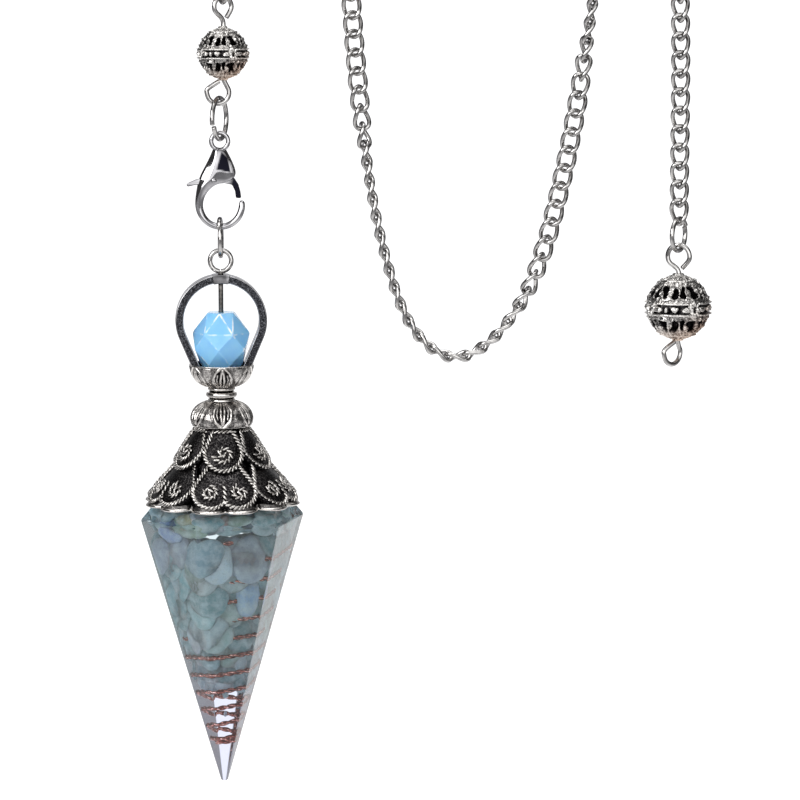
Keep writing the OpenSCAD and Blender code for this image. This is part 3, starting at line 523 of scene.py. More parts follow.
def end_tree(tree, given, geometry):
    """Realize Instances, smooth shading and Set Material close every tree."""
    real = add_node(tree, "GeometryNodeRealizeInstances", {"Geometry": geometry})
    soft = add_node(tree, "GeometryNodeSetShadeSmooth", {"Geometry": real})
    done = add_node(tree, "GeometryNodeSetMaterial", {"Geometry": soft, "Material": given["Material"]})
    add_node(tree, "NodeGroupOutput", {"Geometry": done})
    return tree


def run_tree(obj, tree, values):
    """Runs a tree on an object with the given sizes and material, and keeps its result."""
    mod = obj.modifiers.new("Nodes", "NODES")
    mod.node_group = tree
    for item in tree.interface.items_tree:
        if item.in_out == "INPUT" and item.name in values:
            mod[item.identifier] = values[item.name]
    return apply_modifiers(obj)


def link_tree():
    """Curb links on points that carry a turn: a wire loop whose quarters rise out of its plane."""
    tree, given = new_tree("Curb links", {"Half length": 1.0, "Half width": 1.0, "Curl": 0.1,
                                          "Wire radius": 0.1})
    steps = 36
    loop = add_node(tree, CIRCLE, {"Resolution": steps, "Radius": 1.0})
    turn = add_node(tree, MATH, (add_node(tree, "GeometryNodeInputIndex"), TAU / steps), operation="MULTIPLY")
    twice = add_node(tree, MATH, (turn, 2.0), operation="MULTIPLY")
    where = {}
    for axis, angle, wave, size in (("X", turn, "COSINE", "Half length"), ("Y", turn, "SINE", "Half width"),
                                    ("Z", twice, "SINE", "Curl")):
        swing = add_node(tree, MATH, [angle], operation=wave)
        where[axis] = add_node(tree, MATH, (swing, given[size]), operation="MULTIPLY")
    bent = add_node(tree, MOVE, {"Geometry": loop, "Position": add_node(tree, COMBINE, where)})
    wire = add_node(tree, CIRCLE, {"Resolution": 10, "Radius": given["Wire radius"]})
    link = add_node(tree, "GeometryNodeCurveToMesh", {"Curve": bent, "Profile Curve": wire})
    places = add_node(tree, STORED, {"Name": "turn"}, data_type="QUATERNION")
    links = add_node(tree, ON_POINTS, {"Points": given["Geometry"], "Instance": link, "Rotation": places})
    return end_tree(tree, given, links)


def rope_tree():
    """Slanted grains along wires, as on a rope border that is cast from twisted wire."""
    tree, given = new_tree("Rope grains", {"Spacing": 0.3 * MM, "Grain length": 0.6 * MM,
                                           "Grain width": 0.2 * MM, "Lean": 0.7})
    wire = add_node(tree, "GeometryNodeMeshToCurve", {"Mesh": given["Geometry"]})
    even = add_node(tree, "GeometryNodeResampleCurve", {"Curve": wire, "Length": given["Spacing"]},
                    mode="LENGTH")
    ball = add_node(tree, "GeometryNodeMeshUVSphere", {"Segments": 8, "Rings": 5, "Radius": 0.5})
    size = add_node(tree, COMBINE, {"X": given["Grain length"], "Y": given["Grain width"],
                                    "Z": given["Grain width"]})
    outward = add_node(tree, STORED, {"Name": "outward"}, data_type="FLOAT_VECTOR")
    aim = add_node(tree, "FunctionNodeAxesToRotation",
                   {"Primary Axis": outward, "Secondary Axis": add_node(tree, "GeometryNodeInputTangent")},
                   primary_axis="Z", secondary_axis="X")
    lean = add_node(tree, "FunctionNodeAxisAngleToRotation", {"Axis": (0, 0, 1), "Angle": given["Lean"]})
    turn = add_node(tree, "FunctionNodeRotateRotation", {"Rotation": aim, "Rotate By": lean},
                    rotation_space="LOCAL")
    grains = add_node(tree, ON_POINTS, {"Points": even, "Instance": ball, "Rotation": turn, "Scale": size})
    return end_tree(tree, given, grains)


def twist_tree():
    """Two strands that wind about a path, like twisted bell wire."""
    tree, given = new_tree("Twisted wire", {"Pitch": 1 * MM, "Strand radius": 0.1 * MM, "Step": 0.1 * MM})
    wire = add_node(tree, "GeometryNodeMeshToCurve", {"Mesh": given["Geometry"]})
    even = add_node(tree, "GeometryNodeResampleCurve", {"Curve": wire, "Length": given["Step"]}, mode="LENGTH")
    along = add_node(tree, "GeometryNodeSplineParameter").outputs["Length"]
    turns = add_node(tree, MATH, (along, given["Pitch"]), operation="DIVIDE")
    angle = add_node(tree, MATH, (turns, TAU), operation="MULTIPLY")
    normal = add_node(tree, "GeometryNodeInputNormal")
    side = add_node(tree, VECTOR_MATH, (add_node(tree, "GeometryNodeInputTangent"), normal),
                    operation="CROSS_PRODUCT")
    off_path = add_node(tree, MATH, (0.6, given["Strand radius"]), operation="MULTIPLY")
    round_wire = add_node(tree, CIRCLE, {"Resolution": 6, "Radius": given["Strand radius"]})
    join = add_node(tree, "GeometryNodeJoinGeometry")
    for strand in (0.0, math.pi):
        a = add_node(tree, MATH, (angle, strand), operation="ADD")
        parts = [add_node(tree, VECTOR_MATH, {0: way, "Scale": add_node(tree, MATH, [a], operation=wave)},
                          operation="SCALE") for way, wave in ((normal, "COSINE"), (side, "SINE"))]
        both = add_node(tree, VECTOR_MATH, parts, operation="ADD")
        shift = add_node(tree, VECTOR_MATH, {0: both, "Scale": off_path}, operation="SCALE")
        moved = add_node(tree, MOVE, {"Geometry": even, "Offset": shift})
        mesh = add_node(tree, "GeometryNodeCurveToMesh", {"Curve": moved, "Profile Curve": round_wire,
                                                          "Fill Caps": True})
        tree.links.new(mesh.outputs["Mesh"], join.inputs["Geometry"])
    return end_tree(tree, given, join)


def lump_tree():
    """Lumpy stones on points that carry their own turn, size and tone."""
    tree, given = new_tree("Stone bed", {"Lumps": 0.3 * MM, "Lump size": 1.5 * MM})
    ball = add_node(tree, "GeometryNodeMeshIcoSphere", {"Radius": 1.0, "Subdivisions": 3})
    turn = add_node(tree, STORED, {"Name": "turn"}, data_type="QUATERNION")
    size = add_node(tree, STORED, {"Name": "size"}, data_type="FLOAT_VECTOR")
    stones = add_node(tree, ON_POINTS, {"Points": given["Geometry"], "Instance": ball, "Rotation": turn,
                                        "Scale": size})
    real = add_node(tree, "GeometryNodeRealizeInstances", {"Geometry": stones})
    scale = add_node(tree, MATH, (1.0, given["Lump size"]), operation="DIVIDE")
    waves = add_node(tree, NOISE, {"Vector": add_node(tree, "GeometryNodeInputPosition"), "Scale": scale,
                                   "Detail": 1.0})
    centred = add_node(tree, MATH, (waves, 0.5), operation="SUBTRACT")
    rise = add_node(tree, MATH, (centred, given["Lumps"]), operation="MULTIPLY")
    shift = add_node(tree, VECTOR_MATH, {0: add_node(tree, "GeometryNodeInputNormal"), "Scale": rise},
                     operation="SCALE")
    return end_tree(tree, given, add_node(tree, MOVE, {"Geometry": real, "Offset": shift}))


# ---- Stage

# Where the camera looks, how far up and away it stands, and what its picture is wide there, in mm
VIEW_TARGET, VIEW_RISE, VIEW_AWAY, VIEW_WIDE = (14.19, 0, -59.0), 8.0, 410, 100
SENSOR = 36
# Softboxes: name, place, size, and share of the main one's power
SOFTBOXES = (("key_softbox", (-0.40, -0.36, 0.20), (0.22, 0.34), 1.0),
             ("fill_softbox", (0.50, -0.36, 0.02), (0.10, 0.34), 0.1),
             ("top_softbox", (0.0, 0.05, 0.5), (0.4, 0.4), 0.8))
PAPER_Z, PAPER_HALF, PAPER_CURVE = -0.135, 1.2, 0.2


def build_stage(props):
    scene = bpy.context.scene
    scene.view_settings.view_transform = "Standard"
    target = Vector(VIEW_TARGET) * MM
    rise, away = math.radians(VIEW_RISE), VIEW_AWAY * MM
    place = target + away * Vector((0, -math.cos(rise), math.sin(rise)))
    camera = bpy.data.cameras.new("Camera")
    camera.sensor_fit, camera.sensor_width = "HORIZONTAL", SENSOR
    camera.lens = SENSOR * VIEW_AWAY / VIEW_WIDE
    camera.clip_start, camera.clip_end = 0.01, 20
    eye = bpy.data.objects.new("Camera", camera)
    eye.location = place
    eye.rotation_euler = (target - place).to_track_quat("-Z", "Y").to_euler()
    scene.collection.objects.link(eye)
    scene.camera = eye

    # A sheet of pale paper lies under the pendant and curves up behind it
    bend = [math.pi / 2 * i / 12 for i in range(1, 13)]
    profile = [(-0.9, 0.0), (0.4, 0.0),
               *[(0.4 + PAPER_CURVE * math.sin(a), PAPER_CURVE - PAPER_CURVE * math.cos(a)) for a in bend],
               (0.6, 0.4)]
    points = [(x, y, PAPER_Z + z) for y, z in profile for x in (-PAPER_HALF, PAPER_HALF)]
    paper = raw_object("paper_sweep", points, grid_faces(len(profile), 2, wrap_cols=False), smooth=True)
    paper.data.materials.append(paper_material(props.paper_glow))

    world = bpy.data.worlds.new("Studio")
    scene.world = world
    world.use_nodes = True
    tree = world.node_tree
    tree.nodes.clear()
    place = add_node(tree, "ShaderNodeTexCoord").outputs["Generated"]
    parts = add_node(tree, "ShaderNodeSeparateXYZ", [place]).outputs
    # white behind, before and above, dark at the sides, so that polished wire gets dark flanks
    tone = add_node(tree, RANGE, (parts["Y"], 0.9, 0.98, props.side_light, 1.0))
    for light in ((parts["Y"], -0.94, -0.6, props.front_light, 0.0), (parts["Z"], 0.6, 0.9, 0.0, 1.0)):
        tone = add_node(tree, MATH, (tone, add_node(tree, RANGE, light)), operation="MAXIMUM")
    back = add_node(tree, "ShaderNodeBackground", {"Color": tone, "Strength": props.room_light})
    add_node(tree, "ShaderNodeOutputWorld", {"Surface": back})

    for name, place, size, share in SOFTBOXES:
        light = bpy.data.lights.new(name, "AREA")
        light.shape, (light.size, light.size_y), light.energy = "RECTANGLE", size, share * props.key_power
        lamp = bpy.data.objects.new(name, light)
        lamp.location = place
        lamp.rotation_euler = (Vector((0.01, 0, -0.06)) - lamp.location).to_track_quat("-Z", "Y").to_euler()
        scene.collection.objects.link(lamp)


# ---- Chain, rings and pins

def build_chain(props):
    tree = link_tree()
    sizes = {"Half length": props.link_half_length, "Half width": props.link_half_width,
             "Curl": props.link_curl, "Wire radius": props.link_wire / 2, "Material": nickel_material()}
    for name in ("chain_left", "chain_right"):
        places = link_places(name)
        obj = raw_object(name + "_links", [centre for centre, _ in places])
        mark_points(obj.data, "turn", "QUATERNION", [turn for _, turn in places])
        run_tree(obj, tree, sizes)
        settle(obj, "root", [name])


RING_CUTS = (("clasp_ring", "root", 200), ("drop_ring", "drop_ring", 150), ("end_ring", "root", 30))
CUT_HALF, CUT_OFFSET = 1.2, 0.09 * MM  # half the cut in degrees, and how far its ends lie out of line


def build_rings(props):
    """Jump rings are cut and closed again, so their ends meet a hair out of line."""
    wire = props.ring_wire
    for name, body, cut in RING_CUTS:
        low, high, centre = node_box(name)
        size = high - low
        t = math.atan2(max(size.y - wire, 0), max(size.x - wire, 1e-9))
        path = circle_path(centre, (size.z - wire) / 2, math.degrees(t), cut + CUT_HALF,
                           cut + 360 - CUT_HALF, 89)
        across = Vector((-math.sin(t), math.cos(t), 0)) * CUT_OFFSET
        path = [p + across * (2 * i / (len(path) - 1) - 1) for i, p in enumerate(path)]
        points, faces = tube(path, wire / 2, 14)
        add_piece(name + "_wire", points, faces, [nickel_material()], body, [name])


def drop_eye(centre, r, turn, way, wire, shaft):
    """Path of an eye pin's wire: up the shaft, into a drop-shaped loop and back to the shaft.

    way is 1 for an eye above its bead and -1 for one below it; shaft is its x, near end and far end."""
    t = math.radians(turn)
    across = Vector((math.cos(t), math.sin(t), 0)) * -way
    up = Vector((0, 0, way))
    x, near, far = shaft
    path = [Vector((x, centre.y, z)) for z in (far, (far + near) / 2, near)]
    for degrees in (-38, -10, 20, 50, 80, 110, 140, 170, 200):
        a = math.radians(degrees)
        path.append(centre + r * math.cos(a) * across + r * math.sin(a) * up)
    return path + [path[2] + up * (0.62 * wire) - across * 0.8 * wire]


def build_pins(props):
    wire = props.pin_wire
    steel = nickel_material()
    for name, bead, stem, top_turn, bottom_turn in (
            ("upper_eye_pin", "upper_filigree_bead", props.upper_stem, 28, 6),
            ("end_eye_pin", "end_filigree_bead", props.end_stem, -22, 40)):
        low, high, _ = node_box(name)
        b_low, b_high, mid = node_box(bead)
        r_bead = (b_high.z - b_low.z) / 2
        top_r = (high.z - (mid.z + r_bead + stem) - wire) / 2
        bottom_r = ((mid.z - r_bead - 0.1 * MM) - low.z - wire) / 2
        soup = Soup()
        for way, centre, r, turn, near in (
                (1, Vector((mid.x, 0, high.z - wire / 2 - top_r)), top_r, top_turn,
                 mid.z + r_bead + stem * 0.75),
                (-1, Vector((mid.x - props.eye_shift, 0, low.z + wire / 2 + bottom_r)), bottom_r,
                 bottom_turn, mid.z - r_bead + 0.05 * MM)):
            path = drop_eye(centre, r, turn, way, wire, (mid.x, near, mid.z))
            soup.add(*tube(spline(path, 90), wire / 2, 12))
        add_piece(name + "_wire", soup.points, soup.faces, [steel], "root", [name])

    low, high, mid = node_box("pendant_eye_pin")
    hoop_top = node_box("bail_hoop")[1].z
    outer = high.x - low.x
    eye = circle_path((mid.x, mid.y, high.z - outer / 2), (outer - wire) / 2, 0, -88, 268, 88)
    stem = [Vector((mid.x, mid.y, z)) for z in (high.z - outer + wire / 2, hoop_top - 2 * MM, low.z)]
    soup = Soup()
    soup.add(*tube(eye, wire / 2, 14))
    soup.add(*tube(stem, props.pendant_pin / 2, 16), kind=1)
    add_piece("pendant_pin_wire", soup.points, soup.faces, [steel, steel_pin_material()], "pendant",
              ["pendant_eye_pin"], kinds=soup.kinds)


# ---- Filigree beads

def segment_distance(px, py, ax, ay, bx, by):
    dx, dy = bx - ax, by - ay
    t = np.clip(((px - ax) * dx + (py - ay) * dy) / (dx * dx + dy * dy + 1e-12), 0, 1)
    return np.hypot(px - ax - t * dx, py - ay - t * dy), t


def bead_height(az, lat, r):
    """Relief of a filigree bead in millimetres at azimuths and latitudes in degrees; r is its radius in mm."""
    k = r / 4
    sector = 60
    # hand-cast unevenness
    az = az + 3 * np.sin(np.radians(7 * az + 5 * lat)) + 2 * np.sin(np.radians(13 * az - 11 * lat))
    u = ((az + 9 * np.sign(lat) + sector / 2) % sector - sector / 2)
    phi = np.abs(lat)
    x = np.radians(u) * r * np.cos(np.radians(np.minimum(phi, 80)))
    y = np.radians(phi) * r
    h = np.zeros_like(x)

    def hole(d, w, depth=0.5):
        nonlocal h
        edge = np.clip((d - w) / (0.09 * k), 0, 1)
        h = np.minimum(h, -depth * (1 - edge))

    def ridge(d, w, top):
        nonlocal h
        h = np.maximum(h, np.where(h > -0.05, top * np.clip(1 - (d / w) ** 2, 0, 1), h))

    # six leaves in each half: a raised outline, two slanted slots and a rib between them
    for s in (-1, 1):
        d, t = segment_distance(x, y, s * 0.30 * k, 3.15 * k, s * 1.02 * k, 1.62 * k)
        ridge(d, 0.62 * k, 0.2)
        d, t = segment_distance(x, y, s * 0.34 * k, 2.98 * k, s * 0.86 * k, 1.78 * k)
        hole(d, (0.2 + 0.12 * t) * k)
    d, _ = segment_distance(x, y, 0, 2.2 * k, 0, 1.55 * k)
    ridge(d, 0.28 * k, 0.22)
    # a drop-shaped hole between two leaves
    xs = np.radians((u + sector) % sector - sector / 2) * r * np.cos(np.radians(np.minimum(phi, 80)))
    d, t = segment_distance(xs, y, 0, 2.75 * k, 0, 1.75 * k)
    ridge(d, 0.55 * k, 0.16)
    hole(d, (0.08 + 0.28 * t) * k)
    # beads of solder along the leaves' feet
    for cx, cy in ((0.62, 1.3), (-0.62, 1.3), (0, 3.55), (1.25, 2.45), (-1.25, 2.45)):
        d = np.hypot(x - cx * k, y - cy * k)
        ridge(d, 0.28 * k, 0.15)
    # petals round the pole
    petal = np.abs(((az + 15) % 30) - 15) * np.pi / 180 * r * np.cos(np.radians(np.minimum(phi, 84)))
    polar = (y > 4.1 * k) & (y < 5.6 * k)
    h = np.where(polar, np.maximum(h, 0.2 * np.clip(1 - (petal / (0.34 * k)) ** 2, 0, 1) - 0.12), h)
    ridge(np.abs(y - 5.75 * k), 0.3 * k, 0.28)
    ridge(np.abs(y - 4.0 * k), 0.16 * k, 0.16)
    # belt with studs and four pierced medallions
    signed = np.radians(lat) * r
    belt = np.abs(signed) < 0.62 * k
    h = np.where(belt, np.maximum(-0.1, 0), h)
    ridge(np.abs(np.abs(signed) - 0.66 * k), 0.17 * k, 0.26)
    stud = ((az + 9) % 18 - 9) * np.pi / 180 * r
    d = np.hypot(stud, signed)
    h = np.where(belt, np.where(d < 0.38 * k, 0.2 * np.sqrt(np.clip(1 - (d / (0.38 * k)) ** 2, 0, 1)), -0.2), h)
    medal = ((az + 45) % 90 - 45) * np.pi / 180 * r
    d = np.hypot(medal, signed)
    around = np.arctan2(signed, medal)
    inside = d < 1.05 * k
    flower = 0.2 + 0.07 * np.cos(8 * around)
    h = np.where(inside, flower - 0.25 * np.abs(d / k - 0.68), h)
    h = np.where(inside & (d > 0.92 * k), 0.02, h)
    h = np.where(d < 0.4 * k, -0.5, h)
    # small grains all over the raised metal
    a, b = np.radians(az) * r * np.cos(np.radians(lat)), signed
    grains = np.sin(11 * a / k + 2 * np.sin(7 * b / k)) * np.sin(12 * b / k + 2 * np.sin(6 * a / k))
    return np.where(h > -0.1, h + 0.055 * grains, h)


def build_filigree(props):
    cols, rows = props.filigree_steps, props.filigree_steps // 2
    az, lat = np.meshgrid(np.arange(cols) * 360 / cols, np.linspace(-85.5, 85.5, rows))
    across, along, up = [wave(np.radians(turn)) for wave, turn in ((np.cos, az), (np.sin, az), (np.sin, lat))]
    level = np.cos(np.radians(lat))
    # painted reflection: a warm tone on the right and below, standing in for a warm reflection
    warm = np.clip(0.55 * level * np.cos(np.radians(az - 20)) - 0.9 * up - 0.05, 0, 1).ravel()
    for name in ("upper_filigree_bead", "end_filigree_bead"):
        low, high, mid = node_box(name)
        r = (high.z - low.z) / 2 / MM
        h = bead_height(az + props.bead_turn, lat, r)
        radius = r + h - 0.02
        pts = np.stack([radius * level * across, radius * level * along, radius * up], -1).reshape(-1, 3) * MM
        # the pole's collar turns in to the pin's hole
        collar = np.array([0.5, 0.5, 0.94])
        pts = np.vstack([pts, pts[:cols] * collar, pts[-cols:] * collar]) + np.array(mid)
        n, last = rows * cols, (rows - 1) * cols
        faces = grid_faces(rows, cols)
        for k in range(cols):
            m = (k + 1) % cols
            faces += [(n + k, n + m, m, k), (last + k, last + m, n + cols + m, n + cols + k)]
        faces += [tuple(range(n + cols - 1, n - 1, -1)), tuple(range(n + cols, n + 2 * cols))]
        # painted shade: low relief in the slots, the holes and the collar round the pin's holes is painted
        # black as the shade inside the bead
        relief = np.concatenate([np.clip(0.62 + 2.0 * h.ravel(), 0, 1), np.full(2 * cols, 0.05)])
        add_piece(name.replace("_filigree", "") + "_filigree", pts, faces, [filigree_material()], "root",
                  [name],
                  {"relief": relief, "warm": np.concatenate([warm, np.zeros(2 * cols)])})


# ---- Lobster clasp

CLASP_SECTIONS = [  # left edge, right edge, half thickness, in mm from the middle of the clasp's eye
    ((-0.80, -0.72), (0.72, -0.80), 0.52), ((-1.02, -1.35), (1.02, -1.40), 0.72),
    ((-1.45, -2.30), (1.50, -2.30), 0.95), ((-1.93, -3.15), (1.90, -3.25), 1.03),
    ((-2.35, -3.95), (2.08, -4.02), 1.05), ((-2.55, -4.40), (1.62, -4.86), 1.03),
    ((-2.70, -4.85), (0.62, -5.06), 1.00), ((-2.82, -5.35), (-0.35, -5.28), 0.95),
    ((-2.93, -5.95), (-1.05, -5.70), 0.86), ((-3.03, -6.60), (-1.66, -6.36), 0.74),
    ((-3.10, -7.25), (-2.02, -7.10), 0.62), ((-3.12, -7.95), (-2.15, -7.90), 0.53),
    ((-2.98, -8.75), (-2.05, -8.58), 0.50), ((-2.62, -9.50), (-1.72, -9.25), 0.50),
    ((-2.05, -10.17), (-1.27, -9.77), 0.50), ((-1.28, -10.70), (-0.72, -10.06), 0.50),
    ((-0.40, -10.98), (-0.15, -10.18), 0.50), ((0.55, -10.98), (0.42, -10.18), 0.50),
    ((1.42, -10.67), (0.98, -9.99), 0.50), ((2.15, -10.17), (1.52, -9.63), 0.49),
    ((2.72, -9.47), (1.95, -9.11), 0.48), ((3.04, -8.65), (2.22, -8.45), 0.46),
    ((3.12, -7.95), (2.32, -7.86), 0.42), ((3.02, -7.32), (2.42, -7.22), 0.34),
]




def inside_quad(x, z, corners, soft=0.12):
    """1 inside a four-sided field whose corners go round to the left, 0 outside, with a soft edge."""
    best = 1.0
    for (ax, az), (bx, bz) in zip(corners, corners[1:] + corners[:1]):
        along = math.hypot(bx - ax, bz - az)
        side = ((bx - ax) * (z - az) - (bz - az) * (x - ax)) / along
        best = min(best, side / soft)
    return max(0.0, best)


def clasp_ring_points(left, right, half, count=20):
    """One cross section: a ridge nearer the left edge and a flatter, hollower right side."""
    left, right = Vector((left[0], 0, left[1])), Vector((right[0], 0, right[1]))
    wide = (right - left).length
    body = min(max((wide - 1.1) / 2.0, 0), 1)  # 0 on the hook's round bar, 1 on the wide body
    out = []
    for k in range(count):
        a = TAU * k / count
        u = 0.5 - 0.5 * math.cos(a)
        round_y = math.sin(a)
        ridge = min(1, 0.32 + 1.9 * u) if u < 0.36 else 1 - 0.55 * (u - 0.36) / 0.64
        ridge = ridge * min(1, 6 * (1 - u) ** 0.6 + 0.1)
        sign = 1 if round_y >= 0 else -1
        y = (1 - body) * round_y + body * sign * min(ridge, abs(round_y) ** 0.35)
        out.append(left + (right - left) * u + Vector((0, -half * y, 0)))
    return out


# Corners of the field painted black as shade in the hollow on the casting's front, and the lever's outline from
# the hook's middle, in mm
CLASP_SHADE_FIELD = [(0.2, -1.15), (-0.45, -3.45), (1.45, -3.95), (1.05, -1.95)]
LEVER_OUTLINE = [
    (-4.12, 2.62), (-3.95, 2.78), (-3.0, 3.2), (-1.2, 3.62), (0.6, 3.6), (1.8, 3.35), (2.28, 2.6),
    (2.52, 1.75), (2.62, 1.05), (2.55, 0.9), (2.05, 0.9), (1.95, 1.05), (1.86, 1.8), (1.5, 2.55),
    (0.6, 2.75), (-1.2, 2.58), (-3.0, 2.55), (-3.95, 2.32), (-4.12, 2.42)]


def build_clasp(props):
    _, high, _ = node_box("clasp_body")
    origin = Vector((high.x - 3.15 * MM, 0, high.z - props.clasp_eye / 2))
    count, rows = 20, len(CLASP_SECTIONS)
    points = [origin + p * MM for left, right, half in CLASP_SECTIONS
              for p in clasp_ring_points(left, right, half, count)]
    obj = raw_object("clasp_bar", points, grid_faces(rows, count) + end_caps(rows, count), smooth=True)
    mesh = smoothed(obj, 2).data
    cast = Soup()
    cast.add([v.co for v in mesh.vertices], [p.vertices for p in mesh.polygons])
    # painted shade: the hook's flanks, where they face sideways, and a field in the front's hollow are painted
    # black as shade and dark reflection
    painted_flank_shade = [0.7 * min(1, max(0, 1.25 - abs(v.normal.y) / 0.5)) * (v.co.z < origin.z - 6 * MM)
             for v in mesh.vertices]
    bpy.data.objects.remove(obj)
    wire = (props.clasp_eye - props.clasp_eye_hole) / 2
    eye = circle_path(origin, (props.clasp_eye - wire) / 2, 0)
    cast.add(*tube(eye, wire / 2 * 1.02, 16, closed=True, flat=1.08, up=(0, 1, 0)))
    # rivet that the lever turns on, domed at both ends
    base = origin.z - props.clasp_drop
    pin = Vector((origin.x - 0.7 * MM, 0, base + 3.1 * MM))
    for side in (-1, 1):
        stem = [pin + Vector((0, side * y * MM, 0)) for y in (0.5, 0.92, 1.02, 1.07)]
        cast.add(*tube(stem, [0.34 * MM, 0.34 * MM, 0.27 * MM, 0.05 * MM], 20))
    painted_shade = [inside_quad((x - origin.x) / MM, (z - origin.z) / MM, CLASP_SHADE_FIELD) * (y < 0)
              for x, y, z in cast.points]
    painted_shade = [max(a, b) for a, b in zip(painted_shade, painted_flank_shade + [0.0] * (len(painted_shade) - len(painted_flank_shade)))]
    add_piece("clasp_casting", cast.points, cast.faces, [clasp_material()], "root",
              ["clasp_body"], {"painted_shade": painted_shade})

    half = props.lever_thick / 2
    ring = [(origin.x + x * MM, 0, base + z * MM) for x, z in LEVER_OUTLINE]
    lever = rounded(raw_object("clasp_thumb_lever", *slab(ring, half), smooth=True), 0.16, 3, 35)
    lever.data.materials.append(clasp_material())
    # painted shade: the tab is painted a little dark and black along its lower edge, and the gate's front is
    # painted black
    marks = []
    for v in lever.data.vertices:
        if v.co.x < origin.x - 2.4 * MM:
            marks.append(0.75 if v.co.z < base + 2.6 * MM else 0.25)
        else:
            marks.append(1.0 if v.co.x > origin.x + 1.3 * MM and v.co.y < -half + 0.1 * MM else 0.0)
    mark_points(lever.data, "painted_shade", "FLOAT", marks)
    settle(lever, "clasp_lever", ["clasp_lever"])


# ---- Hoop and blue bead

def arc_points(cx, cz, r, a0, a1, n):
    return [(cx + r * math.cos(math.radians(a0 + (a1 - a0) * i / n)),
             cz + r * math.sin(math.radians(a0 + (a1 - a0) * i / n))) for i in range(n + 1)]


def hoop_outline(props, drop, k, n=44):
    """The hoop's outline, k mm inside its outer edge, in mm from the middle of its round part."""
    big, foot, half = props.hoop_wide / 2 / MM, props.hoop_foot_corner / MM, props.hoop_foot / 2 / MM
    r, f = big - k, foot - k
    cx, cz = half - foot, -drop + foot
    gap = math.hypot(cx, cz)
    lean = math.degrees(math.atan2(cx, -cz))
    side = math.degrees(math.acos((r - f) / gap))
    a = -90 + lean + side
    return (arc_points(0, 0, r, a, 180 - a, n) + arc_points(-cx, cz, f, 180 - a, 270, n // 3)
            + arc_points(cx, cz, f, 270, 360 + a, n // 3))


def turned(points, x, z, degrees):
    t = math.radians(degrees)
    c, s = math.cos(t), math.sin(t)
    return [Vector((x + p[0] * c - p[1] * s, p[0] * s + p[1] * c, z + p[2])) for p in points]


SLEEVE_SPREAD = 11.5  # half of the sleeve's angle on the hoop, in degrees


def build_hoop(props):
    low, high, _ = node_box("bail_hoop")
    axis = node_box("spacer")[2]
    big, band, half = props.hoop_wide / 2 / MM, props.hoop_band / MM, props.hoop_deep / 2 / MM
    centre_z = high.z - props.hoop_wide / 2
    drop = (centre_z - low.z) / MM

    def placed(pts):
        return turned([(x * MM, y * MM, z * MM) for x, y, z in pts], axis.x, centre_z, props.pendant_turn)

    outer, inner = hoop_outline(props, drop, 0), hoop_outline(props, drop, band)
    n = len(outer)
    pts = [(x, y, z) for loop, y in ((outer, -half), (inner, -half), (inner, half), (outer, half))
           for x, z in loop]
    obj = raw_object("bail_hoop_band", placed(pts), grid_faces(4, n, wrap_rows=True), smooth=True)
    for material in (gunmetal_material(), clasp_material()):
        obj.data.materials.append(material)
    # the broad faces are dark, the front and back edges are polished
    obj.data.polygons.foreach_set("material_index", [side % 2 for side in range(4) for _ in range(n)])
    settle(rounded(obj, 0.11, 2, 50, kind=1), "pendant", ["bail_hoop"])

    # polished sleeve where the pin goes through the band
    start, end = 90 - SLEEVE_SPREAD, 90 + SLEEVE_SPREAD
    ring = arc_points(0, 0, big + 0.05, start, end, 8) + arc_points(0, 0, big - band - 0.09, end, start, 8)
    pts, faces = slab([(x, 0, z) for x, z in ring], half + 0.07)
    sleeve = rounded(raw_object("bail_sleeve", placed(pts), faces, smooth=True), 0.12, 3, 40)
    sleeve.data.materials.append(clasp_material())
    # painted shade: the sleeve is painted dark round the pin and a little dark elsewhere
    mark_points(sleeve.data, "painted_shade", "FLOAT",
                [0.62 if abs(v.co.x - axis.x) < 0.95 * MM else 0.1 for v in sleeve.data.vertices])
    settle(sleeve, "pendant")


def build_blue_bead(props):
    low, high, _ = node_box("blue_bead")
    axis = node_box("spacer")[2]
    h, n = (high.z - low.z) / MM, 6
    wide, foot, end = props.bead_wide / 2 / MM, props.bead_foot / 2 / MM, props.bead_end / 2 / MM
    # rings of corners: radius, height, and turn as a share of a facet
    rings = [(end, 0, 0.5), (foot, 0.14 * h, 0), (wide, 0.4 * h, 0.5), (wide, 0.66 * h, 0), (end, h, 0.5)]
    pts = []
    for r, z, off in rings:
        for i in range(n):
            a = math.radians(360 * (i + off) / n - 8)
            pts.append((r * math.cos(a) * MM, r * math.sin(a) * MM, z * MM))
    faces = end_caps(len(rings), n)
    for g in range(len(rings) - 1):
        a, b = g * n, (g + 1) * n
        for i in range(n):
            m = (i + 1) % n
            if rings[g][2] > 0:
                faces += [(a + i, b + m, b + i), (a + i, a + m, b + m)]
            else:
                faces += [(a + i, a + m, b + i), (a + m, b + m, b + i)]
    obj = raw_object("blue_facet_bead", turned(pts, axis.x, low.z, props.pendant_turn), faces)
    for material in (blue_material(), blue_edge_material()):
        obj.data.materials.append(material)
    # the bevels get the pale edge material, a painted highlight
    rounded(obj, 0.11, 2, 8, kind=1)
    bore = props.pendant_pin / 2 + 0.12 * MM
    sides = 32
    tool = [around(axis, bore, 360 * k / sides, z) for z in (low.z - 1 * MM, high.z + 1 * MM)
            for k in range(sides)]
    drill = raw_object("drill", tool, grid_faces(2, sides) + end_caps(2, sides))
    cut = obj.modifiers.new("Hole", "BOOLEAN")
    cut.operation, cut.object, cut.solver = "DIFFERENCE", drill, "EXACT"
    apply_modifiers(obj)
    bpy.data.objects.remove(drill)
    settle(obj, "pendant", ["blue_bead"])


# ---- Cup, spacer and dome

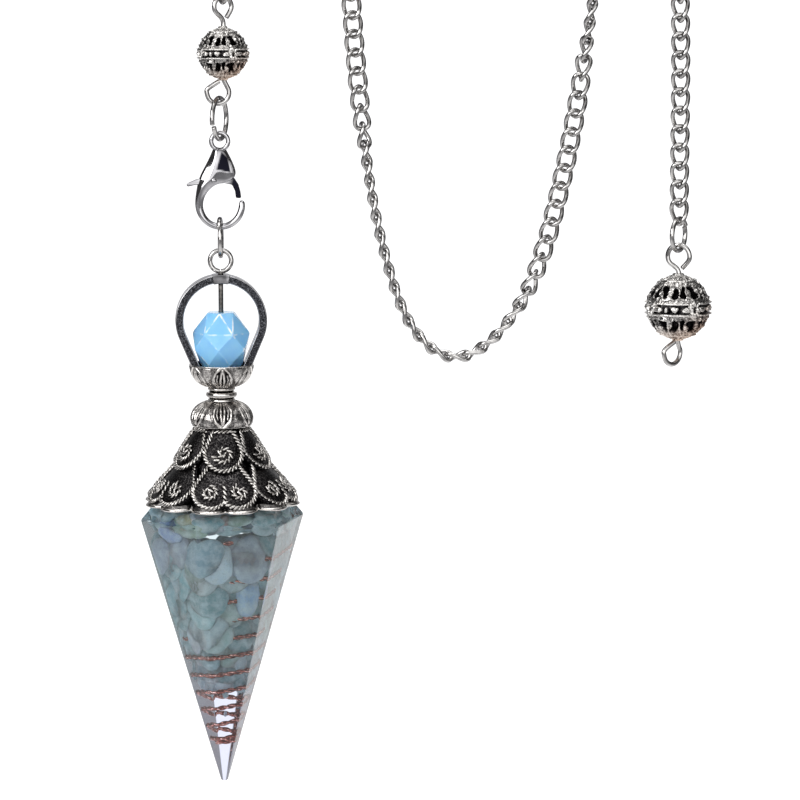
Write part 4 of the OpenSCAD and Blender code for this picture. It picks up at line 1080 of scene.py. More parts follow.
def palmette(x, y, spacing):
    """Height and shine of the leaf relief: x is mm across from a leaf's middle, y mm from its root."""
    ax = np.abs(x)
    half = np.interp(y, [0, 0.6, 1.25, 1.8, 2.3, 2.9], [0.42, 0.72, 1.06, 1.12, 0.92, 0.1])
    h = np.where(ax < half, -0.5, 0.05)

    def stroke(points, w, top):
        nonlocal h
        for (a, b), (c, d) in zip(points, points[1:]):
            dist, _ = segment_distance(ax, y, a, b, c, d)
            h = np.maximum(h, top - 1.6 * (dist / w) ** 2)

    outline = [(0.42, 0.1), (0.72, 0.6), (1.06, 1.25), (1.12, 1.8), (0.92, 2.3), (0.55, 2.6), (0.2, 2.86),
               (0, 2.98)]
    stroke(outline, 0.24, 0.95)
    stroke([(0.16, 0.15), (0.2, 0.8), (0.24, 1.5), (0.16, 2.25), (0, 2.6)], 0.2, 0.85)
    stroke([(0.36, 0.3), (0.6, 1.0), (0.72, 1.6), (0.62, 2.05)], 0.15, 0.6)
    # plain shield between two leaves
    far = spacing / 2 - ax
    width = np.clip((y - 0.9) * 0.42, 0, 0.55)
    shield = (far < width) & (y > 0.95) & (y < 2.75)
    h = np.where(shield, 0.7, h)
    shine = np.clip(0.46 + 0.6 * h, 0, 1)
    return h, np.where(shield, 0.64, shine)


LEAF_LENGTH = 3.05 * 0.97  # mm from a leaf's root to the rim, before it is stretched over the cap
RIM_FROM = 2.86
CAP_WALL = 0.4


def build_cap(props, node, name, profile, top_down, count=6):
    """A turned cap with leaf relief; profile is (radius, height) in mm from its lower edge."""
    low = node_box(node)[0]
    axis = node_box("spacer")[2]
    cols, rows = 324, 56
    line = spline([(r, 0, z) for r, z in profile], rows)
    lengths = np.concatenate([[0], np.cumsum([(b - a).length for a, b in zip(line, line[1:])])])
    total = lengths[-1]
    along = total - lengths if top_down else lengths
    az = np.arange(cols) * 360 / cols
    rs = np.array([p.x for p in line])
    zs = np.array([p.z for p in line])
    u = (az + 180 / count) % (360 / count) - 180 / count
    x = np.radians(u)[None, :] * rs[:, None]
    y = np.repeat(along[:, None] * LEAF_LENGTH / total, cols, 1)
    spacing = np.radians(360 / count) * rs[:, None] + 0 * x
    h, shine = palmette(x, y, spacing)
    rim = y > RIM_FROM
    h = np.where(rim, 0.95, np.clip(h, -0.5, 0.95))
    nx, nz = np.gradient(zs, lengths), -np.gradient(rs, lengths)
    sign = np.sign(nx.mean()) or 1
    # the relief fades out at both ends of the profile
    fade = np.clip(np.minimum(np.arange(rows), rows - 1 - np.arange(rows)) / 2, 0, 1)[:, None]
    lift = props.leaf_height / MM * h * fade
    t = np.radians(az - 90 + props.pendant_turn)[None, :]
    shell = [(rs[:, None] + sign * nx[:, None] * lift, zs[:, None] + sign * nz[:, None] * lift)]
    # inside wall
    inside_z = np.clip(zs + (-0.25 if top_down else 0.25), zs.min() + 0.02, zs.max() - 0.02)
    shell.append((np.maximum(rs - CAP_WALL, 0.45)[::-1, None] + 0 * t, inside_z[::-1, None] + 0 * t))
    pts = np.vstack([np.stack([r * np.cos(t), r * np.sin(t), z], -1).reshape(-1, 3) for r, z in shell])
    faces = grid_faces(2 * rows, cols, wrap_rows=True)
    if sign < 0:
        faces = [f[::-1] for f in faces]
    relief = np.concatenate([np.where(rim, 0.8, shine).ravel(), np.full(rows * cols, 0.25)])
    recalc(add_piece(name, pts * MM + np.array([axis.x, axis.y, low.z]), faces, [antique_material()],
                     "pendant", [node], {"relief": relief}))


CUP_PROFILE = [(1.7, 0.0), (2.25, 0.1), (2.95, 0.5), (3.35, 0.9), (3.68, 1.45), (3.86, 2.05), (3.95, 2.45),
               (4.0, 2.6)]
DOME_PROFILE = [(3.62, 0.0), (3.72, 0.12), (3.74, 0.35), (3.84, 0.8), (3.8, 1.25), (3.55, 1.85), (3.0, 2.4),
                (2.35, 2.78)]
SPACER_PROFILE = [(0.4, 0.0), (1.6, 0.0), (1.72, 0.12), (1.66, 0.3), (1.45, 0.36), (1.5, 0.46), (1.85, 0.54),
                  (1.95, 0.75), (1.93, 0.98), (1.82, 1.14), (1.5, 1.2), (1.44, 1.28), (1.6, 1.36), (1.74, 1.5),
                  (1.7, 1.68), (1.55, 1.78)]


def build_caps(props):
    for node, name, profile, top_r in (("cup", "leaf_cup", CUP_PROFILE, 4.0),
                                       ("dome_cap", "leaf_dome", DOME_PROFILE, 1.72)):
        low, high, _ = node_box(node)
        build_cap(props, node, name, [*profile, (top_r, (high.z - low.z) / MM)], node == "dome_cap")
    low, high, axis = node_box("spacer")
    h = (high.z - low.z) / MM
    rows, cols = 90, 96
    line = spline([(r, 0, z) for r, z in [*SPACER_PROFILE, (1.5, h), (0.4, h)]], rows)
    pts = [around(axis, p.x * MM, 360 * k / cols, low.z + p.z * MM) for p in line for k in range(cols)]
    shine = [min(max((p.x - 1.42) / 0.3, 0.1), 0.95) for p in line for k in range(cols)]
    recalc(add_piece("turned_spacer", pts, grid_faces(rows, cols, wrap_rows=True), [antique_material()],
                     "pendant", ["spacer"], {"relief": shine}))


# ---- Skirt cap

def upper_outline(w, l, k=0.0, n=30):
    r, top = w / 2, 0.28 * w - k
    return [(-top, -k), (top, -k)] + arc_points(0, r - l, r - k, 12, -192, n)


def lower_outline(w, l, k=0.0, n=18):
    r = 0.29 * w
    x = w / 2 - r
    top = 0.2 * w - k
    notch = math.degrees(math.acos(-x / (r - k)))
    return ([(-top, -k), (top, -k)] + arc_points(x, r - l, r - k, 30, -notch, n)
            + arc_points(-x, r - l, r - k, notch - 180, -210, n))


def densify(points, step=0.16):
    out = []
    n = len(points)
    for i in range(n):
        a, b = points[i], points[(i + 1) % n]
        count = max(1, int(math.dist(a, b) / step))
        out += [(a[0] + (b[0] - a[0]) * k / count, a[1] + (b[1] - a[1]) * k / count) for k in range(count)]
    return out


def scroll_line(cx, cy, r, side, turns, start, n=60, inner=0.2):
    """A spiral wire from radius r in to its middle."""
    out = []
    for i in range(n + 1):
        a = math.radians(start) + TAU * turns * i / n
        q = r + (inner - r) * i / n
        out.append((cx + side * q * math.cos(a), cy + q * math.sin(a)))
    return out


class Petal:
    """Places flat petal points (x across, y down its length, lift out of it) on the skirt, in mm."""

    def __init__(self, r0, z0, r1, z1, wrap, dome, width):
        self.r0, self.z0 = r0, z0
        self.length = math.hypot(r1 - r0, z1 - z0)
        self.slope = math.atan2(z0 - z1, r1 - r0)
        self.wrap, self.dome, self.width = wrap, dome, width

    def at(self, x, y, lift, az):
        c, s = math.cos(self.slope), math.sin(self.slope)
        across = 1 - (2 * x / self.width) ** 2
        down = -y / self.length
        bow = self.dome * max(across, -0.4) * math.sin(math.pi * min(max(down, 0), 1) ** 0.8)
        lift = lift + bow
        radial = self.r0 - y * c + lift * s
        z = self.z0 + y * s + lift * c
        swing = x / max(radial, 1.0) * self.wrap
        straight = x * (1 - self.wrap)
        t = math.radians(az) + swing
        out = Vector((math.cos(t), math.sin(t), 0))
        side = Vector((-math.sin(t), math.cos(t), 0))
        return out * radial + side * straight + Vector((0, 0, z))

    def outward(self, x, y, az):
        a = self.at(x, y, 0, az)
        b = self.at(x, y, 0.1, az)
        return (b - a).normalized()


PETAL_THICK = 0.6
PETAL_SHARES = (1.0, 0.97, 0.9, 0.8, 0.68, 0.55, 0.42, 0.3, 0.18, 0.08)  # rings from a petal's edge inwards
ROPE_INSET, ROPE_LIFT = 0.22, 0.2
# The lip's profile: share of its reach, and height over the skirt's underside in mm
LIP_ROWS = [(1.0, 0.0), (1.012, 0.16), (1.0, 0.34), (0.97, 0.42), (0.975, 0.7), (0.72, 1.1), (0.66, 1.1),
            (0.66, 0.02)]


def petal_shape(petal, outline, place, az):
    """Points, faces and shine of one petal: an under and an upper layer of rings, closed at the edge."""
    n, m = len(outline), len(PETAL_SHARES)
    cy = sum(p[1] for p in outline) / n
    pts, shine, faces = [], [], []
    for layer, lift in ((0, -PETAL_THICK), (1, 0.0)):
        for share in PETAL_SHARES:
            edge = share == 1.0 and layer
            for x, y in outline:
                pts.append(place(petal.at(x * share, cy + (y - cy) * share, lift - (0.12 if edge else 0), az)))
                shine.append(0.2 if share > 0.96 and layer else 0.3)
        start = layer * m * n
        rings = grid_faces(m, n) + [tuple((m - 1) * n + i for i in range(n))]
        rings = [tuple(start + i for i in f) for f in rings]
        faces += rings if layer else [f[::-1] for f in rings]
    faces += [(i, (i + 1) % n, m * n + (i + 1) % n, m * n + i) for i in range(n)]
    return pts, faces, 0, shine


def lip_reach(azimuths, low_r, petal_width, rim_r):
    """How far the scalloped lip reaches in each of 360 directions: two lobes under each lower petal."""
    lobe = 0.29 * petal_width
    radius, out = lobe - 0.12, []
    for k in range(360):
        t = math.radians(k)
        reach = rim_r + 0.3
        for az in azimuths:
            c, s = math.cos(math.radians(az)), math.sin(math.radians(az))
            for side in (-1, 1):
                x = (low_r - lobe) * c - side * (petal_width / 2 - lobe) * s
                y = (low_r - lobe) * s + side * (petal_width / 2 - lobe) * c
                along = x * math.cos(t) + y * math.sin(t)
                off = x * math.sin(t) - y * math.cos(t)
                if abs(off) < radius and along > 0:
                    reach = max(reach, along + math.sqrt(radius ** 2 - off ** 2))
        out.append(reach)
    return out


def build_skirt(props):
    low, high, _ = node_box("skirt_cap")
    axis = node_box("spacer")[2]
    top_z, height = high.z / MM, (high.z - low.z) / MM
    centre = Vector((axis.x, axis.y, 0)) / MM
    top_r, mid_r, low_r = props.skirt_top / 2 / MM, props.upper_tier / 2 / MM, props.lower_tier / 2 / MM
    up_w, low_w, rise = props.upper_petal / MM, props.lower_petal / MM, props.tier_drop / MM
    upper = Petal(top_r - 0.35, top_z - 0.25, mid_r - 0.25, top_z - rise, 0.75, 0.35, up_w)
    lower = Petal(mid_r - 1.9, top_z - rise + 1.1, low_r - 0.25, top_z - height + props.tip_rise / MM, 0.7,
                  0.4, low_w)
    azimuths = [60 * i - 90 + props.pendant_turn for i in range(6)]

    def place(v):
        return (centre + v) * MM

    soup = Soup()
    for petal, outline in ((upper, upper_outline(up_w, upper.length)),
                           (lower, lower_outline(low_w, lower.length))):
        outline = densify(outline)
        for az in azimuths:
            soup.add(*petal_shape(petal, outline, place, az))

    # bell under the petals, its flat top and the scalloped lip
    cols = 144
    rim_r = low_r - 2.4
    bell = [(0.4, 0), (top_r - 0.15, 0), (top_r, -0.15), (top_r + 0.05, -0.5), (mid_r - 1.35, -rise + 0.2),
            (mid_r - 1.35, -rise - 0.2), (rim_r - 0.1, -height + 0.5), (rim_r - 0.1, -height + 0.02),
            (rim_r - 2.0, -height + 0.02), (0.4, -1.4)]
    pts = [place(Vector(around(Vector(), r, 360 * k / cols, top_z + z))) for r, z in bell for k in range(cols)]
    soup.add(pts, grid_faces(len(bell), cols, wrap_rows=True), value=0.2)
    lip = lip_reach(azimuths, low_r, low_w, rim_r)
    # the lip dips over the resin's bevel under each lobe
    dip = [props.lip_dip / MM * min(1.0, max(0.0, (reach - rim_r - 0.3) / (low_r - rim_r - 0.5)))
           for reach in lip]
    pts, shine = [], []
    for share, z in LIP_ROWS:
        for k in range(360):
            down = dip[k] * max(0.0, (share - 0.8) / 0.2)
            pts.append(place(Vector(around(Vector(), lip[k] * share, k, top_z - height + z - down))))
            shine.append(0.85 if share > 0.98 else 0.5 if share > 0.94 else 0.3)
    soup.add(pts, grid_faces(len(LIP_ROWS), 360, wrap_rows=True), value=shine)
    recalc(add_piece("skirt_casting", soup.points, soup.faces, [antique_material()], "pendant",
                     ["skirt_cap"], {"relief": soup.values}))

    # twisted wires: a border and a spiral on each upper petal, a border, two spirals and a stem on each lower
    upper_edge = densify(upper_outline(up_w, upper.length, ROPE_INSET))
    lower_edge = densify(lower_outline(low_w, lower.length, ROPE_INSET))
    wires = [(upper, upper_edge, True),
             (upper, scroll_line(0.0, 0.47 * up_w - upper.length, 0.235 * up_w, 1, 1.35, 200), False),
             (lower, lower_edge, True)]
    wires += [(lower, scroll_line(s * 0.235 * low_w, 0.28 * low_w - lower.length, 0.125 * low_w, s, 1.3, 120),
               False) for s in (-1, 1)]
    wires.append((lower, [(0.0, y - lower.length) for y in (1.0, 1.4, 1.8, 2.2, 2.6, 3.0)], False))
    points, edges, outward = [], [], []
    for az in azimuths:
        for petal, line, closed in wires:
            start, n = len(points), len(line)
            points += [place(petal.at(x, y, ROPE_LIFT, az)) for x, y in line]
            outward += [petal.outward(x, y, az) for x, y in line]
            edges += [(start + i, start + (i + 1) % n) for i in range(n if closed else n - 1)]
    ropes = raw_object("skirt_ropes", points, edges=edges)
    mark_points(ropes.data, "outward", "FLOAT_VECTOR", outward)
    run_tree(ropes, rope_tree(), {"Spacing": props.rope_spacing, "Grain length": props.rope_grain,
                                  "Grain width": 0.3 * props.rope_grain, "Lean": math.radians(37),
                                  "Material": rope_material()})
    settle(ropes, "pendant")


# ---- Resin point, coil and chips

def build_resin(props):
    low, high, _ = node_box("resin_cone")
    axis = node_box("spacer")[2]
    turn = props.pendant_turn + props.resin_turn
    rings = [(props.resin_tip / 2, low.z), (props.resin_wide / 2, high.z - props.resin_bevel),
             (props.resin_top / 2, high.z)]
    pts = [around(axis, r, 60 * k + turn, z) for r, z in rings for k in range(6)]
    obj = rounded(raw_object("resin_point", pts, grid_faces(3, 6) + end_caps(3, 6)), 0.2, 2, 12)
    obj.data.materials.append(resin_material())
    settle(obj, "pendant", ["resin_cone"])


COIL_STEPS = 48  # points on each turn
CLOSING_STEPS = 56  # points on the turn that closes the coil at its lower end
COIL_GAP = 0.16 * MM  # from the resin's wall to the wire


def build_coil(props):
    axis = node_box("spacer")[2]
    low, high, _ = node_box("resin_cone")
    girdle = high.z - props.resin_bevel
    n = int(props.coil_turns * COIL_STEPS)
    wire = props.coil_wire
    flat = math.cos(math.pi / 6)

    def aside(depth):
        return props.coil_shift * max(0, 1 - depth / props.coil_centred)

    def reach(depth):
        share = depth / (girdle - low.z)
        return (props.resin_wide / 2 * (1 - share) + props.resin_tip / 2 * share) * flat - props.resin_wall \
            - wire / 2 - COIL_GAP - aside(depth)

    top, bottom = props.coil_top, props.coil_bottom
    turn = math.radians(props.pendant_turn)
    lean = math.radians(30) + turn
    pts = []
    for i in range(n + CLOSING_STEPS):
        t = min(i / n, 1)
        d = top + (bottom - top) * t * (1 + props.coil_opening * (1 - t)) + max(0, i - n) / CLOSING_STEPS * wire
        a = -TAU * props.coil_turns * i / n - math.pi / 2 + turn
        r, off = reach(d), aside(d)
        pts.append((axis.x + off * math.cos(lean) + r * math.cos(a),
                    axis.y + off * math.sin(lean) + r * math.sin(a), girdle - d))
    obj = raw_object("copper_twist", pts, edges=[(i, i + 1) for i in range(len(pts) - 1)])
    run_tree(obj, twist_tree(), {"Pitch": props.coil_pitch, "Strand radius": 0.44 * wire,
                                 "Step": props.coil_pitch / 9, "Material": copper_material()})
    settle(obj, "pendant", ["copper_coil"])


# Tone of the stones by their turn from the front and their depth in mm
STONE_TONES = [
    (-12, 4.7, "C3D9EE"), (-72, 4.7, "8FC0CE"), (48, 4.7, "B7BDC8"), (-51, 9.5, "8DBFCB"),
    (0, 9.5, "9DB8B2"), (51, 9.5, "9DB9E6"), (-28, 13.9, "A3BDBB"), (32, 13.9, "93B0AE"),
    (-88, 13.9, "A9B3C6"), (14, 17.7, "9CBAB6"), (-58, 17.7, "AEB9C4"), (0, 0.1, "7FA9B0"),
    (-44, 0.1, "9DB59C"), (44, 0.1, "7C9AA0")]


STONE_PALETTE = ["9FBFC6", "8FB3B8", "A9C4CF", "93B5AE", "B4C2D6"]
DEEP_STONES = 20.5  # mm under the girdle, where the stones are half as large


def stone_tone(turn, depth, seed):
    def far(row):
        return abs((turn - row[0] + 180) % 360 - 180) / 20 + abs(depth - row[1]) / 2.5
    best = min(STONE_TONES, key=far)
    if far(best) < 1.2:
        return best[2]
    return STONE_PALETTE[seed % len(STONE_PALETTE)]


def build_chips(props):
    """Each CAD chip is copied, merged and smoothed into a tumbled stone."""
    axis = node_box("spacer")[2]
    girdle = node_box("resin_cone")[1].z - props.resin_bevel
    soup, tones = Soup(), []
    for number, pts in enumerate(islands("stone_chips")):
        bm = bmesh.new()
        for p in pts:
            bm.verts.new(p)
        bmesh.ops.convex_hull(bm, input=bm.verts)
        bmesh.ops.recalc_face_normals(bm, faces=bm.faces)
        mesh = bpy.data.meshes.new("chip")
        bm.to_mesh(mesh)
        bm.free()
        obj = bpy.data.objects.new("chip", mesh)
        bpy.context.scene.collection.objects.link(obj)
        smoothed(obj, 3)
        co = np.array([v.co for v in obj.data.vertices])
        centre = co.mean(0)
        deep = (girdle - centre[2]) / MM > DEEP_STONES
        co = centre + (co - centre) * (0.5 if deep else props.chip_fill)
        soup.add(co, [tuple(p.vertices) for p in obj.data.polygons])
        turn = math.degrees(math.atan2(centre[0] - axis.x, axis.y - centre[1])) - props.pendant_turn
        colour = linear(stone_tone(turn, (girdle - centre[2]) / MM, number))
        tones += [colour] * len(co)
        bpy.data.objects.remove(obj)
    add_piece("tumbled_chips", soup.points, soup.faces, [stone_material()], "pendant",
              ["stone_chips"], {"tone": tones})


# The large stones that show at the front: turn from the front, depth, half width, half height, lean, tone
FRONT_STONES = [
    (-60, 4.6, 1.7, 3.0, 6, "96D2E2"), (-42, 6.4, 1.25, 4.3, 22, "83C4D0"),
    (-11, 4.4, 2.3, 3.0, -14, "D2E8FC"), (-25, 7.1, 1.6, 1.5, 40, "D0E0E6"),
    (5, 10.4, 2.3, 2.7, 10, "A0C2BA"), (33, 9.0, 1.7, 2.8, 12, "9DC4F4"),
    (25, 4.3, 2.5, 2.1, 10, "B0ACBC"), (-52, 13.8, 1.5, 3.3, -8, "B4C4DA"),
    (-14, 14.4, 2.0, 2.4, 20, "9ABFBC"), (-32, 11.0, 1.7, 2.6, -20, "96C6CE"),
    (-78, 9.6, 1.6, 3.0, -16, "86BCCC"), (16, 16.6, 1.6, 2.2, 30, "92BCB2"),
    (-34, -0.5, 1.9, 0.8, 0, "A39A62"), (-14, -0.5, 2.0, 0.8, 0, "4F95A6"),
    (14, -0.5, 1.9, 0.8, 0, "7F9D86"), (36, -0.5, 2.2, 0.8, 0, "4C868E"),
    (-58, 1.3, 2.4, 0.9, 0, "8EA6E2"), (0, -0.6, 0.6, 0.7, 0, "8A4A38")]
BED_PALETTE = ["77A3AD", "5F9199", "93B2C0", "7B9A90", "A3AEC6", "8DA3A2", "6D95AA", "A6C3D0"]


def build_bed(props):
    """The smaller stones that fill the resin between the large chips."""
    low, high, _ = node_box("resin_cone")
    axis = node_box("spacer")[2]
    girdle = high.z - props.resin_bevel
    tall = (girdle - low.z) / MM
    wide, tip, top = props.resin_wide / 2 / MM, props.resin_tip / 2 / MM, props.resin_top / 2 / MM
    bevel = props.resin_bevel / MM
    rng = np.random.default_rng(props.bed_seed)

    def limit(depth, turn):
        """From the axis to the facets, with turn and depth as in the list above."""
        if depth < 0:
            r = wide + (top - wide) * min(-depth / bevel, 1)
        else:
            r = wide + (tip - wide) * depth / tall
        part = (turn - props.resin_turn + 30) % 60 - 30
        return r * math.cos(math.pi / 6) / math.cos(math.radians(part))

    def inset(depth, turn):
        """The stones lie at the facets on the left and behind the coil on the right and further down."""
        near, far = props.bed_near / MM, props.bed_far / MM
        left = min(max((6 - turn) / 20, 0), 1) if -150 < turn < 90 else 0.5
        deep = min(max((depth - 14) / 4, 0), 1)
        high_up = min(max((2.2 - depth) / 1.5, 0), 1)
        share = max(left * (1 - deep), high_up)
        return far + (near - far) * share

    places, sizes, turns, tones = [], [], [], []

    def put(turn, depth, half_w, half_h, half_t, lean, tone, sink=0.0):
        r = limit(depth, turn) - inset(depth, turn) - half_t - sink
        if r < 0.15:
            return
        a = math.radians(turn + props.pendant_turn)
        where = Vector((axis.x + r * MM * math.sin(a), axis.y - r * MM * math.cos(a), girdle - depth * MM))
        slope = math.atan2((wide - tip) * math.cos(math.pi / 6), tall) if depth > 0 else -0.3
        q = Quaternion((0, 0, 1), a) @ Quaternion((1, 0, 0), -slope) @ Quaternion((0, 1, 0), math.radians(lean))
        places.append(where)
        sizes.append((half_w * MM, half_t * MM, half_h * MM))
        turns.append(q)
        tones.append(linear(tone))

    for turn, depth, half_w, half_h, lean, tone in FRONT_STONES:
        put(turn, depth, half_w, half_h, 0.8 if depth < 1 else 1.3, lean, tone)
    for sink, gap in ((0.35, 1.0), (2.4, 1.25)):
        chosen = []
        for _ in range(props.bed_tries):
            depth = props.bed_low / MM * rng.random() ** 1.25 - 1.3
            turn = 360 * rng.random() - 180
            r = limit(depth, turn)
            grow = min(1.0, 0.35 + r / 10)
            half_w, half_h = grow * (1.6 + 1.2 * rng.random()), grow * (2.0 + 1.6 * rng.random())
            lean, tone = 60 * rng.random() - 30, BED_PALETTE[int(len(BED_PALETTE) * rng.random())]
            spot = (math.radians(turn) * max(r - sink, 0.4), depth)
            if any(math.dist(spot, c[0]) < gap * 0.62 * (c[1] + half_w) for c in chosen):
                continue
            chosen.append((spot, half_w))
            if depth < 1.2:
                depth, half_h = -0.55, 0.75
            elif depth - half_h < 0.9:
                depth = 0.9 + half_h
            put(turn, depth, half_w, half_h, 1.15 * grow, lean, tone, sink)
    obj = raw_object("stone_bed", places)
    for name, kind, row in (("turn", "QUATERNION", turns), ("size", "FLOAT_VECTOR", sizes),
                            ("tone", "FLOAT_COLOR", tones)):
        mark_points(obj.data, name, kind, row)
    run_tree(obj, lump_tree(), {"Lumps": 1.3 * MM, "Lump size": 2.4 * MM, "Material": stone_material()})
    # no stone comes through a facet
    mesh = obj.data
    for v in mesh.vertices:
        x, y = v.co.x - axis.x, v.co.y - axis.y
        r, depth = math.hypot(x, y) / MM, (girdle - v.co.z) / MM
        depth = max(depth, 0.35 - bevel)
        most = limit(depth, math.degrees(math.atan2(x, -y)) - props.pendant_turn) - props.bed_near / MM * 0.8
        if r > most:
            v.co.x, v.co.y = axis.x + x * most / r, axis.y + y * most / r
        v.co.z = girdle - depth * MM
    settle(obj, "pendant")


# ---- Settings

def length(name, description, default_mm):
    return bpy.props.FloatProperty(name=name, description=description, default=default_mm * MM,
                                   subtype="DISTANCE", unit="LENGTH", min=0.0, precision=5)


def number(name, description, default, low, high):
    return bpy.props.FloatProperty(name=name, description=description, default=default, min=low, max=high)


class StageSettings(bpy.types.PropertyGroup):
    paper_glow: number("Paper glow", "Light that comes through the paper", 1.02, 0, 2)
    room_light: number("Room light", "Strength of the light from the room", 1.0, 0, 5)
    side_light: number("Side light", "Tone of the room at both sides", 0.06, 0, 1)
    front_light: number("Front light", "Tone of the room behind the camera", 2.0, 0, 5)
    key_power: number("Key power", "Power of the main softbox in watts", 1.4, 0, 200)


class ChainSettings(bpy.types.PropertyGroup):
    link_half_length: length("Half length", "Half the length of a link, to the middle of its wire", 1.52)
    link_half_width: length("Half width", "Half the width of a link, to the middle of its wire", 0.975)
    link_curl: length("Curl", "How far a link's quarters rise out of its plane", 0.42)
    link_wire: length("Wire", "Thickness of the links' wire", 0.56)


class FindingSettings(bpy.types.PropertyGroup):
    ring_wire: length("Ring wire", "Thickness of the jump rings' wire", 0.6)
    pin_wire: length("Pin wire", "Thickness of the eye pins' wire", 0.6)
    pendant_pin: length("Pendant pin", "Thickness of the pendant's straight pin", 0.62)
    upper_stem: length("Upper stem", "Bare wire above the small filigree bead", 1.2)
    end_stem: length("End stem", "Bare wire above the large filigree bead", 0.65)
    eye_shift: length("Eye shift", "How far the lower eyes are bent to the left", 0.65)
    filigree_steps: bpy.props.IntProperty(name="Filigree steps", description="Points round a filigree bead",
                                          default=360, min=60, max=480)
    bead_turn: number("Bead turn", "Turn of the filigree beads in degrees", 63, 0, 360)
    clasp_eye: length("Clasp eye", "Outer diameter of the clasp's eye", 2.6)
    clasp_eye_hole: length("Clasp eye hole", "Hole in the clasp's eye", 1.6)
    clasp_drop: length("Clasp drop", "From the clasp's eye down to the middle of its hook", 7.9)
    lever_thick: length("Lever", "Thickness of the lever", 0.8)


class PendantSettings(bpy.types.PropertyGroup):
    pendant_turn: number("Turn", "Turn of the pendant in degrees", 5, -180, 180)
    pendant_pin: length("Pin", "Thickness of the pendant's straight pin", 0.62)
    hoop_wide: length("Hoop width", "Outer width of the hoop's round part", 11.4)
    hoop_foot: length("Hoop foot", "Outer width of the hoop's foot", 7.4)
    hoop_foot_corner: length("Foot corner", "Outer radius of the foot's corners", 2.3)
    hoop_band: length("Hoop band", "Thickness of the hoop's band", 1.0)
    hoop_deep: length("Hoop depth", "Depth of the hoop's band", 2.4)
    bead_wide: length("Bead width", "Width of the blue bead across its corners", 7.2)
    bead_foot: length("Bead foot", "Width of the blue bead near its foot", 5.4)
    bead_end: length("Bead end", "Width of the blue bead's flat ends", 3.7)
    leaf_height: length("Leaf relief", "Height of the leaves on the cup and the dome", 0.16)
    skirt_top: length("Skirt top", "Diameter of the skirt's flat top", 6.8)
    upper_tier: length("Upper tier", "Width across the upper petals", 13.1)
    lower_tier: length("Lower tier", "Width across the lower petals", 19.5)
    tier_drop: length("Tier drop", "From the skirt's top down to the upper petals' tips", 5.1)
    tip_rise: length("Tip rise", "Height of the lower petals' tips above the skirt's underside", 0.4)
    lip_dip: length("Lip dip", "How far the lip hangs over the resin under a lobe", 0.12)
    upper_petal: length("Upper petal", "Width of an upper petal", 5.2)
    lower_petal: length("Lower petal", "Width of a lower petal", 8.4)
    rope_spacing: length("Rope spacing", "From one grain of a rope border to the next", 0.52)
    rope_grain: length("Rope grain", "Length of a rope border's grain", 1.06)


class ResinSettings(bpy.types.PropertyGroup):
    pendant_turn: number("Turn", "Turn of the pendant in degrees", 5, -180, 180)
    resin_turn: number("Resin turn", "Turn of the resin's corners in degrees", 9, 0, 60)
    resin_wide: length("Width", "Width of the resin across its corners", 20.9)
    resin_top: length("Top width", "Width of the resin's top face across its corners", 17.6)
    resin_tip: length("Tip width", "Width of the point's blunt end", 0.9)
    resin_bevel: length("Bevel", "Height of the bevel above the widest place", 1.9)
    resin_wall: length("Wall", "From the resin's flat sides to the coil", 0.2)
    coil_wire: length("Coil wire", "Thickness of the twisted copper wire", 0.5)
    coil_pitch: length("Coil twist", "Length of one twist of the copper wire", 2.5)
    coil_top: length("Coil start", "Depth of the coil's first turn", 1.9)
    coil_bottom: length("Coil end", "Depth of the coil's last turn", 28.2)
    coil_shift: length("Coil shift", "How far the upper turns are shifted to the right and back", 1.2)
    coil_centred: length("Coil centred", "Depth from which the coil is in the middle", 18)
    coil_turns: number("Coil turns", "Turns of the copper coil", 11, 1, 20)
    coil_opening: number("Coil opening", "How much wider the first pitch is", 0.12, 0, 0.3)
    bed_near: length("Bed near", "From the facets to the stones on the left", 0.5)
    bed_far: length("Bed far", "From the facets to the stones behind the coil", 1.35)
    bed_low: length("Bed depth", "How deep the smaller stones reach", 21.5)
    bed_tries: bpy.props.IntProperty(name="Bed tries", default=900, min=10, max=5000,
                                     description="How often a place for a small stone is tried")
    bed_seed: bpy.props.IntProperty(name="Bed seed", default=7, min=0,
                                    description="Fixed seed of the small stones")
    chip_fill: number("Chip size", "Share of its place that a chip fills", 1.12, 0.5, 1.3)


class PENDANT_OT_stage(bpy.types.Operator):
    """Adds the paper, the softboxes and the camera"""
    bl_idname = "pendant.stage"
    bl_label = "Stage and camera"
    bl_options = {"UNDO"}

    def execute(self, context):
        build_stage(context.scene.pendant_stage)
        return {"FINISHED"}


class PENDANT_OT_chain(bpy.types.Operator):
    """Adds the links of the chain"""
    bl_idname = "pendant.chain"
    bl_label = "Curb chain"
    bl_options = {"UNDO"}

    def execute(self, context):
        build_chain(context.scene.pendant_chain)
        return {"FINISHED"}


class PENDANT_OT_rings(bpy.types.Operator):
    """Adds the three jump rings"""
    bl_idname = "pendant.rings"
    bl_label = "Jump rings"
    bl_options = {"UNDO"}

    def execute(self, context):
        build_rings(context.scene.pendant_findings)
        return {"FINISHED"}


class PENDANT_OT_pins(bpy.types.Operator):
    """Adds the eye pins and the pendant's pin"""
    bl_idname = "pendant.pins"
    bl_label = "Eye pins"
    bl_options = {"UNDO"}

    def execute(self, context):
        build_pins(context.scene.pendant_findings)
        return {"FINISHED"}


class PENDANT_OT_filigree(bpy.types.Operator):
    """Adds both filigree beads"""
    bl_idname = "pendant.filigree"
    bl_label = "Filigree beads"
    bl_options = {"UNDO"}

    def execute(self, context):
        build_filigree(context.scene.pendant_findings)
        return {"FINISHED"}


class PENDANT_OT_clasp(bpy.types.Operator):
    """Adds the clasp's casting and its lever"""
    bl_idname = "pendant.clasp"
    bl_label = "Lobster clasp"
    bl_options = {"UNDO"}

    def execute(self, context):
        build_clasp(context.scene.pendant_findings)
        return {"FINISHED"}


